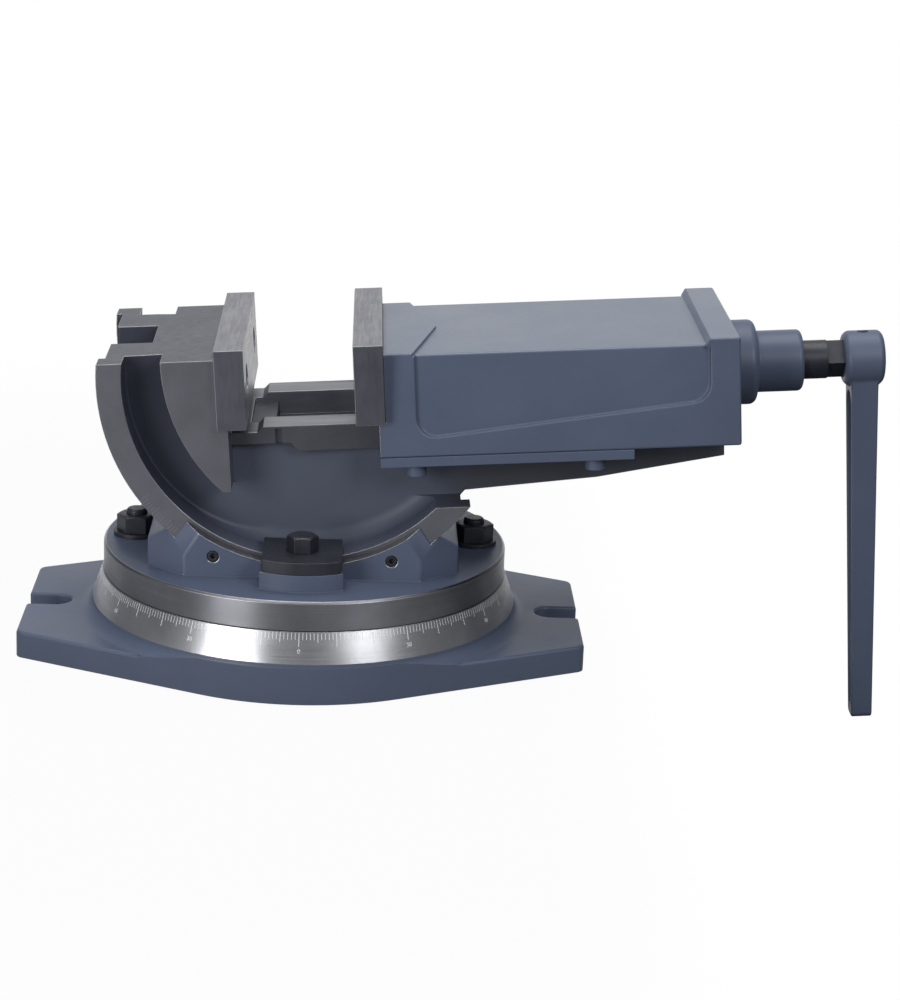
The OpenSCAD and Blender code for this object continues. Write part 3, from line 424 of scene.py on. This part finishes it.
BLUE_GREY = (0.080, 0.100, 0.154)
PAINT = casting_paint("casting_paint", BLUE_GREY)
# painted highlight: a lighter, glossier copy of the paint for the middle of rounded outer edges
PAINT_HIGHLIGHT = casting_paint("casting_paint_highlight", scaled(BLUE_GREY, 1.6), rough=0.36, grain=0.3)
# painted shade: a darker, rougher copy of the paint for rounded inner corners
PAINT_CORNER_SHADE = casting_paint("casting_paint_corner_shade", scaled(BLUE_GREY, 0.76), rough=0.62, grain=0.3)
# painted shade: a darker copy of the paint for the base's steep sides
SIDE_SHADED_PAINT = casting_paint("casting_paint_side_shaded", scaled(BLUE_GREY, 0.88))
# painted shade: a darker, greyer copy of the paint on the web, darker still in the hollow of the
# round end and under the moving jaw
WEB_SHADED_PAINT = casting_paint("casting_paint_web_shaded", (0.074, 0.085, 0.120), rough=0.48,
                          shade_bands=((-30 * MM, -76 * MM, (0.38, 0.38, 0.42)),
                                  (54 * MM, 84 * MM, (0.48, 0.46, 0.42))))
# smoother, glossier paint on the sliding jaw's top; its lighter colour is painted light from above
TOP_LIT_PAINT = casting_paint("casting_paint_top_lit", (0.108, 0.131, 0.180), rough=0.335, grain=0.22,
                          gloss=0.5)
CONE = turned("turned_cone", (0.60, 0.605, 0.63), 0.345, sheen=0.6)
RIM = turned("turned_rim", (0.265, 0.268, 0.284), 0.345, sheen=0.8)
BAND = turned("turned_band", (0.185, 0.188, 0.212), 0.42, axis="Y", centre=(0, 0, TILT_Z),
              sheen=0.0, metal=0.8)
BARE = machined("milled_iron", (0.285, 0.288, 0.304), 0.42, (1100, 900, 200))
BARE_TOP = machined("milled_iron_top", (0.118, 0.128, 0.155), 0.40, (200, 1100, 900))
DARK = machined("machined_recess", (0.076, 0.079, 0.094), 0.50, (300, 1100, 1100), kind="dull",
                metal=0.3)
SLOT = machined("machined_slot", (0.32, 0.33, 0.38), 0.50, (60, 900, 700), kind="dull",
                metal=0.2, cut=0.5)
PLATE_FACE = machined("ground_jaw_face", (0.25, 0.25, 0.285), 0.345, (1000, 60, 1000))
GRIP = machined("ground_grip_face", (0.46, 0.46, 0.50), 0.345, (1000, 60, 1000))
PLATE_END = machined("sawn_jaw_end", (0.165, 0.165, 0.197), 0.42, (1100, 600, 120))
WAY = machined("ground_ways", (0.235, 0.24, 0.27), 0.345, (30, 900, 900), cut=0.5)
EDGE = machined("bright_edge", (0.30, 0.30, 0.32), 0.36, (600, 600, 600), dark=0.9)
MARKS = machined("engraved_marks", (0.84, 0.84, 0.86), 0.50, (900, 900, 900), dark=0.9, metal=0.4)
TILT_MARKS = machined("engraved_tilt_marks", (0.24, 0.24, 0.26), 0.5, (900, 900, 900), dark=0.9,
                      metal=0.2)
SCREW_STEEL = turned("rolled_thread", (0.22, 0.22, 0.23), 0.34, axis="X",
                     centre=(0, 0, THREAD_MID_Z), sheen=0.0)
BLACK = blacked("black_oxide", (0.016, 0.017, 0.025), 0.42)
BRONZE = machined("bronze", (0.58, 0.38, 0.17), 0.35, (400, 2400, 2400), kind="dull")


# ---- which face of a piece has which finish
# Each function gets the middle of a face and its normal: in the world for the base and the
# table, and in the head's level frame for what rides on the head.

# A face's middle counts as on a plane within a hair of it, and as on an arc when it is near it.
HAIR, NEAR = 0.1 * MM, 0.6 * MM
# A face is square to an axis if its normal has this share along it, and runs along the axis if
# it has no more than the next. The base's darker side paint, painted shade on its steep faces,
# takes in the steep part of its fillets.
SQUARE, ALONG, STEEP = 0.9, 0.1, 0.3


def base_region(p, n):
    r = math.hypot(p.x, p.y)
    if FOOT_Z < p.z < CONE_Z - HAIR and r > CONE_R1 - NEAR:
        return CONE
    bored = r < RIM_IN - NEAR and p.z > TSLOT_FLOOR + HAIR
    if p.z > CONE_Z - HAIR or p.z < HAIR or bored:
        return BARE
    # painted shade on the steep sides
    return SIDE_SHADED_PAINT if abs(n.z) < STEEP else PAINT


def table_region(p, n):
    r = math.hypot(p.x, p.y)
    about = math.hypot(p.x, p.z - TILT_Z)
    if r > RIM_IN - NEAR and p.z < RIM_TOP - HAIR:
        return RIM
    if p.z < TABLE_Z + HAIR:
        return BARE
    if abs(n.y) < ALONG:
        # the seat of the flanges, and the arc of the lips outside it
        if abs(about - FLANGE_R) < NEAR and abs(p.y) < BODY_Y + NEAR:
            return BARE
        if abs(about - LIP_R) < NEAR and p.z > RIM_TOP + HAIR:
            return BARE
    set_mouth = math.hypot(abs(p.x) - SET_X, p.z - SET_Z) < SET_MOUTH_R
    return EDGE if set_mouth and ALONG < abs(n.y) < SQUARE else PAINT


def body_region(p, n):
    side = abs(p.y)
    if side > BODY_Y - HAIR and abs(n.y) > SQUARE:
        return BAND
    # the flanges' outer edge, and the underside of the bed beyond them
    if math.hypot(p.x, p.z) > FLANGE_R - HAIR and abs(n.y) < ALONG:
        return BAND
    if p.z > TOP_Z - HAIR and n.z > SQUARE:
        return BARE_TOP
    if p.x > WAYS_X:
        if n.z > SQUARE and p.z > WAYS_Z - RAIL_STEP and side < WAYS_Y:
            return WAY
        if SLOT_FLOOR < p.z < WAYS_Z + HAIR and side < SLOT_Y and abs(n.y) > SQUARE:
            return SLOT
        if WAYS_Z - RAIL_T < p.z < WAYS_Z + HAIR and side < WAYS_Y + HAIR:
            return DARK
    # the web between the flanges takes the paint with painted shade
    return WEB_SHADED_PAINT if side < BODY_Y - HAIR else PAINT


def jaw_region(p, n):
    if n.z > SQUARE and p.z > SLIDER_TOP - HAIR and p.x < SLIDER_END - HAIR:
        # the top takes the lighter paint, painted light from above
        return TOP_LIT_PAINT
    hollow = SLIDER_X + HAIR < p.x < SLIDER_END - HAIR and p.z < SLIDER_TOP
    if hollow and abs(p.y) < HOLLOW_Y:
        return DARK
    front = p.x < SLIDER_X + NEAR and abs(n.x) > SQUARE
    end = p.x > BOSS_END - HAIR and n.x > SQUARE
    return DARK if front or end else PAINT


def plate_region(p, n):
    if abs(n.x) > SQUARE:
        return GRIP
    return PLATE_END if abs(n.y) > SQUARE or n.z < -SQUARE else PLATE_FACE


# ---- CAD nodes with rounded edges

WELD, SLIVER = 2e-6, 1e-6                   # closer vertices are one, before and after rounding
ONE_FACE = math.radians(0.15)               # faces turned less than this are one
SHARP = math.radians(24)                    # edges from here on are rounded
SHADED_SHARP = math.radians(33)             # what is left from here on is shaded sharp
BEVEL_W, BEVEL_STEPS = 2.5 * MM, 3          # the bevel's width at a weight of 1
EDGE_REACH = 0.6 * MM                       # a rounded edge's own faces are this near
HOLLOW_RISE = 0.002 * MM                    # in an inner corner it rises this far over them
SHADE_SLANT, HIGHLIGHT_SLANT = math.radians(10), math.radians(27)     # painted shade or painted highlight from here on

# Edges whose middle is in a box are rounded less, where two rounded edges would meet. Each row
# is a width, then the box's range along X, away from Y = 0 and along Z, in mm.
ALL = (-math.inf, math.inf)
JAW_TOP = (SLIDER_TOP / MM - 0.1, math.inf)
SLIM_BASE = ((0.25, ALL, (60, math.inf), (13.1, math.inf)),)
SLIM_TABLE = ((0.3, (-30, 30), (64.5, math.inf), (50, math.inf)),)
SLIM_BODY = ((0.4, (30, math.inf), ALL, (-math.inf, -37)),)
SLIM_JAW = ((0.4, (-math.inf, 65), (-math.inf, 53.5), JAW_TOP),
            (0.4, (180, 190), ALL, JAW_TOP),
            # the step round the side panel, and its small lip under the head
            (1.0, (49, 187), (52, math.inf), (-29.5, 9)),
            (0.3, (183, 187), (50, math.inf), (8, 9.3)))
SLIM_CRANK = ((0.4, (261.7, 269.3), (-math.inf, 8.5), ALL),)


def body_of(node):
    return next(b for b, nodes in frame["record"]["behaviour"]["bodies"].items() if node in nodes)


def slimmed(width, p, rules):
    """The width of a rounded edge with its middle at p, by the rules for its piece."""
    for finer, *box in rules:
        place = (p.x, abs(p.y), p.z)
        if all(low * MM < c < high * MM for c, (low, high) in zip(place, box)):
            width = min(width, finer * MM)
    return width


def sort_faces(bm, level, finishes, region):
    """Gives each face its finish and makes one face of each flat part of a finish."""
    turn = level.to_3x3()
    for f in bm.faces:
        if region:
            finish = region(level @ f.calc_center_median(), turn @ f.normal)
            f.material_index = finishes.index(finish)
        else:
            f.material_index = 0
        f.smooth = True
    bmesh.ops.dissolve_limit(bm, angle_limit=ONE_FACE, verts=bm.verts, edges=bm.edges,
                             delimit={"MATERIAL"})


def weigh_edges(bm, level, finishes, cast, cut, slim):
    """Writes each edge's rounding as a bevel weight: cast where both its faces are cast."""
    layers = bm.edges.layers.float
    weight = layers.get("bevel_weight_edge") or layers.new("bevel_weight_edge")
    for e in bm.edges:
        e[weight] = 0.0
        if len(e.link_faces) != 2 or e.calc_face_angle(0) < SHARP:
            continue
        both_cast = all(finishes[f.material_index].kind == "cast" for f in e.link_faces)
        middle = level @ ((e.verts[0].co + e.verts[1].co) / 2)
        e[weight] = slimmed(cast if both_cast else cut, middle, slim) / BEVEL_W


def round_edges(shape, edge_slot):
    b = shape.modifiers.new("rounded_edges", "BEVEL")
    b.limit_method = "WEIGHT"
    b.width = BEVEL_W
    b.segments = BEVEL_STEPS
    b.use_clamp_overlap = False
    b.loop_slide = False
    b.material = edge_slot
    applied(shape)
    bm = bmesh_of(shape.data)
    bmesh.ops.dissolve_degenerate(bm, dist=SLIVER, edges=bm.edges)
    into_mesh(bm, shape.data)


def finish_edges(shape, flats, kept, finishes, highlit, shaded_corners):
    """A rounded edge stays painted where both its sides are. There its middle can take a lighter
    paint as a painted highlight, and an inner corner a darker paint as painted shade. It is bright
    where one side is machined. flats are the faces before rounding, and kept their places in
    finishes."""
    bright = len(finishes)
    highlight_paint, corner_shade_paint = bright + 1, bright + 2
    for f in shape.data.polygons:
        if f.material_index != bright:
            continue
        near = flats.find_nearest_range(f.center, EDGE_REACH) or [flats.find_nearest(f.center)]
        spot, normal, index, _ = min(near, key=lambda hit: hit[3])
        hollow = (f.center - spot).dot(normal) > HOLLOW_RISE
        slant = f.normal.angle(normal, 0)
        if all(finishes[kept[hit[2]]].kind == "cast" for hit in near):
            # painted shade in an inner corner, painted highlight along the middle of an outer edge
            if shaded_corners and hollow and slant > SHADE_SLANT:
                f.material_index = corner_shade_paint
            elif highlit and not hollow and slant > HIGHLIGHT_SLANT:
                f.material_index = highlight_paint
            else:
                f.material_index = kept[index]
        elif hollow or finishes[kept[index]].kind == "dull":
            f.material_index = kept[index]


def edged(node, finishes, region=None, cast=1.2 * MM, cut=0.3 * MM, slim=(), reshape=None,
          highlit=False, shaded_corners=False):
    """Stands for a CAD node: its mesh with rounded edges and a finish for each face.
    region(point, normal) picks the finish, and reshape(point) moves the mesh first."""
    body = body_of(node)
    level = LEVEL if body in HEAD_BODIES else Matrix.Identity(4)
    mesh = frame["nodes"][node].data.copy()
    mesh.materials.clear()
    for f in (*finishes, EDGE, PAINT_HIGHLIGHT, PAINT_CORNER_SHADE):
        mesh.materials.append(f.material)
    bm = bmesh_of(mesh)
    bmesh.ops.remove_doubles(bm, verts=bm.verts, dist=WELD)
    for v in bm.verts if reshape else ():
        v.co = level.inverted() @ reshape(level @ v.co)
    sort_faces(bm, level, finishes, region)
    weigh_edges(bm, level, finishes, cast, cut, slim)
    bmesh.ops.triangulate(bm, faces=[f for f in bm.faces if len(f.verts) > 4],
                          ngon_method="BEAUTY")
    flats = BVHTree.FromBMesh(bm)
    kept = [f.material_index for f in bm.faces]
    shape = linked(node + "_finished", into_mesh(bm, mesh))
    round_edges(shape, len(finishes))
    finish_edges(shape, flats, kept, finishes, highlit, shaded_corners)
    shape.data.shade_smooth()
    shape.data.set_sharp_from_angle(angle=SHADED_SHARP)
    w = shape.modifiers.new("flat_shading", "WEIGHTED_NORMAL")
    w.keep_sharp = True
    applied(shape)
    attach(shape, body)
    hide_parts(node)


def piece(name, mesh, body, finish):
    """A piece that the scene adds to a body."""
    mesh.materials.clear()
    mesh.materials.append(finish.material)
    item = linked(name, mesh)
    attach(item, body)


# ---- degree scales

MARK_PROUD, MARK_SUNK = 0.02 * MM, 0.06 * MM
# Rows of marks: length and width in mm, count, then the first mark and the step in degrees
BASE_ROWS = (*((3.1, 0.26, 72, first, 5) for first in (1, 2, 3, 4)),
             (4.3, 0.28, 36, 5, 10), (6.2, 0.34, 36, 0, 10))
TILT_ROWS = ((3.0, 0.2, 10, 1, 5), (3.0, 0.2, 9, 2, 5), (3.0, 0.2, 9, 3, 5), (3.0, 0.2, 9, 4, 5),
             (4.6, 0.2, 10, 0, 5))
TILT_SCALE_START = -146                     # degrees round the flange
BASE_ROW_IN, TILT_ROW_IN = 0.5 * MM, 0.7 * MM       # from the edge to the marks
# The numbers, one after each step in degrees, and their height, place and thickness
NUMBERS, NUMBER_STEP = (0, 30, 60, 90, 60, 30), 30
NUMBER_H, NUMBER_IN, NUMBER_PROUD, NUMBER_T = 2.05 * MM, 9.0 * MM, 0.01 * MM, 0.03 * MM
FONT_SHARE, FONT_STEPS = 1.4, 3             # a font's size over the height of its digits


def ring_tree(name):
    """Copies of the incoming mark, turned step by step round Z."""
    tree = bpy.data.node_groups.new(name, "GeometryNodeTree")
    for socket, kind in (("Mark", "Geometry"), ("Count", "Int"), ("First", "Float"),
                         ("Step", "Float"), ("Finish", "Material")):
        tree.interface.new_socket(socket, in_out="INPUT", socket_type="NodeSocket" + kind)
    tree.interface.new_socket("Marks", in_out="OUTPUT", socket_type="NodeSocketGeometry")
    t = Tree(tree)
    given = t.node("NodeGroupInput").outputs
    row = t.node("GeometryNodeMeshLine", {"Count": given["Count"], "Offset": (0, 0, 0)})
    put = t.node("GeometryNodeInstanceOnPoints", {"Points": row.outputs[0],
                                                  "Instance": given["Mark"]})
    index = t.node("GeometryNodeInputIndex").outputs[0]
    angle = t.math("ADD", t.math("MULTIPLY", index, given["Step"]), given["First"])
    about = t.node("ShaderNodeCombineXYZ", {2: angle}).outputs[0]
    round_z = t.node("GeometryNodeRotateInstances", {"Instances": put.outputs[0],
                                                     "Rotation": about, "Local Space": False})
    real = t.node("GeometryNodeRealizeInstances", {0: round_z.outputs[0]})
    done = t.node("GeometryNodeSetMaterial", {"Geometry": real.outputs[0],
                                              "Material": given["Finish"]})
    t.node("NodeGroupOutput", {0: done.outputs[0]})
    return tree


RING_TREE = ring_tree("ring_of_marks")


def ring_of_marks(mark, count, first, step, finish):
    """The mark's mesh repeated round Z, as one plain mesh. Angles in degrees."""
    item = linked("mark", mark)
    row = item.modifiers.new("ring", "NODES")
    row.node_group = RING_TREE
    values = {"Count": count, "First": math.radians(first), "Step": math.radians(step),
              "Finish": finish.material}
    for socket in RING_TREE.interface.items_tree:
        if socket.name in values:
            row[socket.identifier] = values[socket.name]
    applied(item)
    mesh = item.data
    bpy.data.objects.remove(item)
    return mesh


def bar(start, along, out, side, length, width):
    """A slim bar on a surface: from start, length along, half its width to each side."""
    bm = bmesh.new()
    rows = []
    for s in (0, length):
        for w in (-width / 2, width / 2):
            for h in (-MARK_SUNK, MARK_PROUD):
                rows.append(bm.verts.new(start + along * s + side * w + out * h))
    for quad in ((0, 1, 3, 2), (4, 6, 7, 5), (0, 4, 5, 1), (2, 3, 7, 6), (0, 2, 6, 4),
                 (1, 5, 7, 3)):
        bm.faces.new([rows[i] for i in quad])
    bmesh.ops.recalc_face_normals(bm, faces=bm.faces)
    return into_mesh(bm, bpy.data.meshes.new("mark"))


def digits(number, height, place):
    """A number as a flat mesh, its middle put at place (a matrix)."""
    curve = bpy.data.curves.new("number", "FONT")
    curve.body = str(number)
    curve.size = height * FONT_SHARE
    curve.extrude = NUMBER_T
    curve.align_x = "CENTER"
    curve.align_y = "CENTER"
    curve.resolution_u = FONT_STEPS
    item = linked("number", curve)
    mesh = result_mesh(item)
    mesh.transform(place)
    bpy.data.objects.remove(item)
    return mesh


def base_scale():
    """Engraved degrees on the cone: every degree, longer at 5 and 10, numbers at 30."""
    down = Vector((0, CONE_R1 - CONE_R0, FOOT_Z - CONE_Z)).normalized()
    out = Vector((0, down.z, -down.y))
    side = Vector((1, 0, 0))
    top = Vector((0, -CONE_R1, CONE_Z))
    parts = []
    for length, width, count, first, step in BASE_ROWS:
        mark = bar(top + down * BASE_ROW_IN, down, out, side, length * MM, width * MM)
        parts.append(ring_of_marks(mark, count, first, step, MARKS))
    face = Matrix((side, -down, out)).transposed().to_4x4()
    face.translation = top + down * NUMBER_IN + out * NUMBER_PROUD
    for k in range(360 // NUMBER_STEP):
        place = Matrix.Rotation(math.radians(NUMBER_STEP * k), 4, "Z") @ face
        parts.append(digits(NUMBERS[k % len(NUMBERS)], NUMBER_H, place))
    mesh = into_mesh(bmesh_of(*parts), bpy.data.meshes.new("base_scale"))
    piece("base_scale", mesh, "base", MARKS)


def tilt_scale():
    """Degrees of tilt on the outer border of both machined bands."""
    start, inwards = Vector((FLANGE_R - TILT_ROW_IN, 0, 0)), Vector((-1, 0, 0))
    out, side = Vector((0, 0, 1)), Vector((0, 1, 0))
    parts = []
    for s in (-1, 1):
        # from the XY plane to the side of the flange, its marks proud of both sides
        stand = Matrix.Translation((0, s * BODY_Y, 0)) @ Matrix.Rotation(math.radians(90), 4, "X")
        if s > 0:
            stand = stand @ Matrix.Scale(-1, 4, (0, 0, 1))
        place = RAISED @ stand @ Matrix.Rotation(math.radians(TILT_SCALE_START), 4, "Z")
        for length, width, count, first, step in TILT_ROWS:
            mark = bar(start, inwards, out, side, length * MM, width * MM)
            ring = ring_of_marks(mark, count, first, step, TILT_MARKS)
            ring.transform(place)
            parts.append(ring)
    bm = bmesh_of(*parts)
    bmesh.ops.recalc_face_normals(bm, faces=bm.faces)
    mesh = into_mesh(bm, bpy.data.meshes.new("tilt_scale"))
    piece("tilt_scale", mesh, "tilt", TILT_MARKS)


# ---- thread of the screw

THREAD_ROOT, THREAD_CREST, CORE_R = 7.7 * MM, 9.95 * MM, 7.3 * MM
THREAD_COLUMNS, THREAD_SHARP = 40, math.radians(28)
# The profile's corners, as shares of the pitch
PROFILE = ((0.0, THREAD_ROOT), (0.30, THREAD_ROOT), (0.44, THREAD_CREST), (0.86, THREAD_CREST))
# Turns drawn before the start, and in all past both ends, which the cuts take off
TURNS_BEFORE, TURNS_SPARE = 2, 6
ON_CUT = 1e-7                               # vertices this close to a cut lie on it
CORE_SHORT = 0.5 * MM                       # the core starts this far inside the thread


def thread_core(p):
    """The smooth cylinder that stands for the thread shrinks inside the real thread."""
    r = math.hypot(p.y, p.z - SCREW_Z)
    if THREAD_X0 - HAIR < p.x < THREAD_X1 + HAIR and r > THREAD_R - HAIR:
        k = CORE_R / r
        return Vector((max(p.x, THREAD_X0 + CORE_SHORT), p.y * k, SCREW_Z + (p.z - SCREW_Z) * k))
    return p


def screw_thread():
    """A closed bar with a trapezoid thread about the X axis, cut square at both ends, then put
    at the screw's place."""
    bm = bmesh.new()
    grid = []
    for k in range(int((THREAD_X1 - THREAD_X0) / THREAD_PITCH) + TURNS_SPARE):
        for share, r in PROFILE:
            x0 = THREAD_X0 + (k - TURNS_BEFORE + share) * THREAD_PITCH
            row = []
            for j in range(THREAD_COLUMNS):
                angle = math.tau * j / THREAD_COLUMNS
                row.append(bm.verts.new((x0 + THREAD_PITCH * j / THREAD_COLUMNS,
                                         r * math.cos(angle), r * math.sin(angle))))
            grid.append(row)
    turn = len(PROFILE)
    for i in range(len(grid) - 1 - turn):
        for j in range(THREAD_COLUMNS):
            # past the last column the surface goes on one turn further along
            on = i if j < THREAD_COLUMNS - 1 else i + turn
            k = (j + 1) % THREAD_COLUMNS
            bm.faces.new((grid[i][j], grid[on][k], grid[on + 1][k], grid[i + 1][j]))
    for x, side in ((THREAD_X0, -1), (THREAD_X1, 1)):
        bmesh.ops.bisect_plane(bm, geom=[*bm.verts, *bm.edges, *bm.faces], dist=ON_CUT,
                               plane_co=(x, 0, 0), plane_no=(side, 0, 0), clear_outer=True)
        rim = [e for e in bm.edges
               if e.is_boundary and all(abs(v.co.x - x) < SLIVER for v in e.verts)]
        bmesh.ops.contextual_create(bm, geom=rim)
    bmesh.ops.triangulate(bm, faces=[f for f in bm.faces if len(f.verts) > 4])
    bmesh.ops.recalc_face_normals(bm, faces=bm.faces)
    mesh = into_mesh(bm, bpy.data.meshes.new("thread"))
    mesh.shade_smooth()
    mesh.set_sharp_from_angle(angle=THREAD_SHARP)
    mesh.transform(RAISED @ Matrix.Translation((0, 0, SCREW_Z)))
    piece("screw_thread", mesh, "screw", SCREW_STEEL)


# ---- the scene

place_camera()
studio()
table_top()

edged("base_casting", [PAINT, CONE, BARE, SIDE_SHADED_PAINT], base_region, cast=1.5 * MM, cut=0.35 * MM,
      slim=SLIM_BASE, shaded_corners=True)
edged("swivel_table", [PAINT, RIM, BARE, EDGE], table_region, cast=1.0 * MM,
      slim=SLIM_TABLE, highlit=True, shaded_corners=True)
edged("tilt_body", [PAINT, BAND, BARE_TOP, WAY, DARK, WEB_SHADED_PAINT, SLOT], body_region,
      cut=0.35 * MM, slim=SLIM_BODY)
edged("moving_jaw", [PAINT, TOP_LIT_PAINT, DARK], jaw_region, slim=SLIM_JAW)
for node in ("fixed_jaw_plate", "moving_jaw_plate"):
    edged(node, [PLATE_FACE, PLATE_END, GRIP], plate_region, cut=0.35 * MM)
for node in ("keeper_front", "keeper_back", "keeper_bolts"):
    edged(node, [PAINT], cast=0.5 * MM)
edged("crank_handle", [PAINT], cast=0.9 * MM, slim=SLIM_CRANK)
for node in ("clamp_front", "clamp_back"):
    edged(node, [BLACK], cut=0.35 * MM)
for node in ("t_bolts", "swivel_washers", "swivel_nuts", "clamp_bolts", "cradle_set_screws",
             "fixed_jaw_screws", "moving_jaw_screws", "lead_nut_screws", "thrust_ring",
             "crank_set_screw"):
    edged(node, [BLACK], cut=0.25 * MM)
for node in ("lead_nut", "thrust_washer"):
    edged(node, [BRONZE])
for node in ("pivot_pin", "thrust_bearing", "thrust_ring_pin"):
    edged(node, [BARE], cut=0.2 * MM)
edged("lead_screw", [BLACK], cut=0.2 * MM, reshape=thread_core)

screw_thread()
base_scale()
tilt_scale()
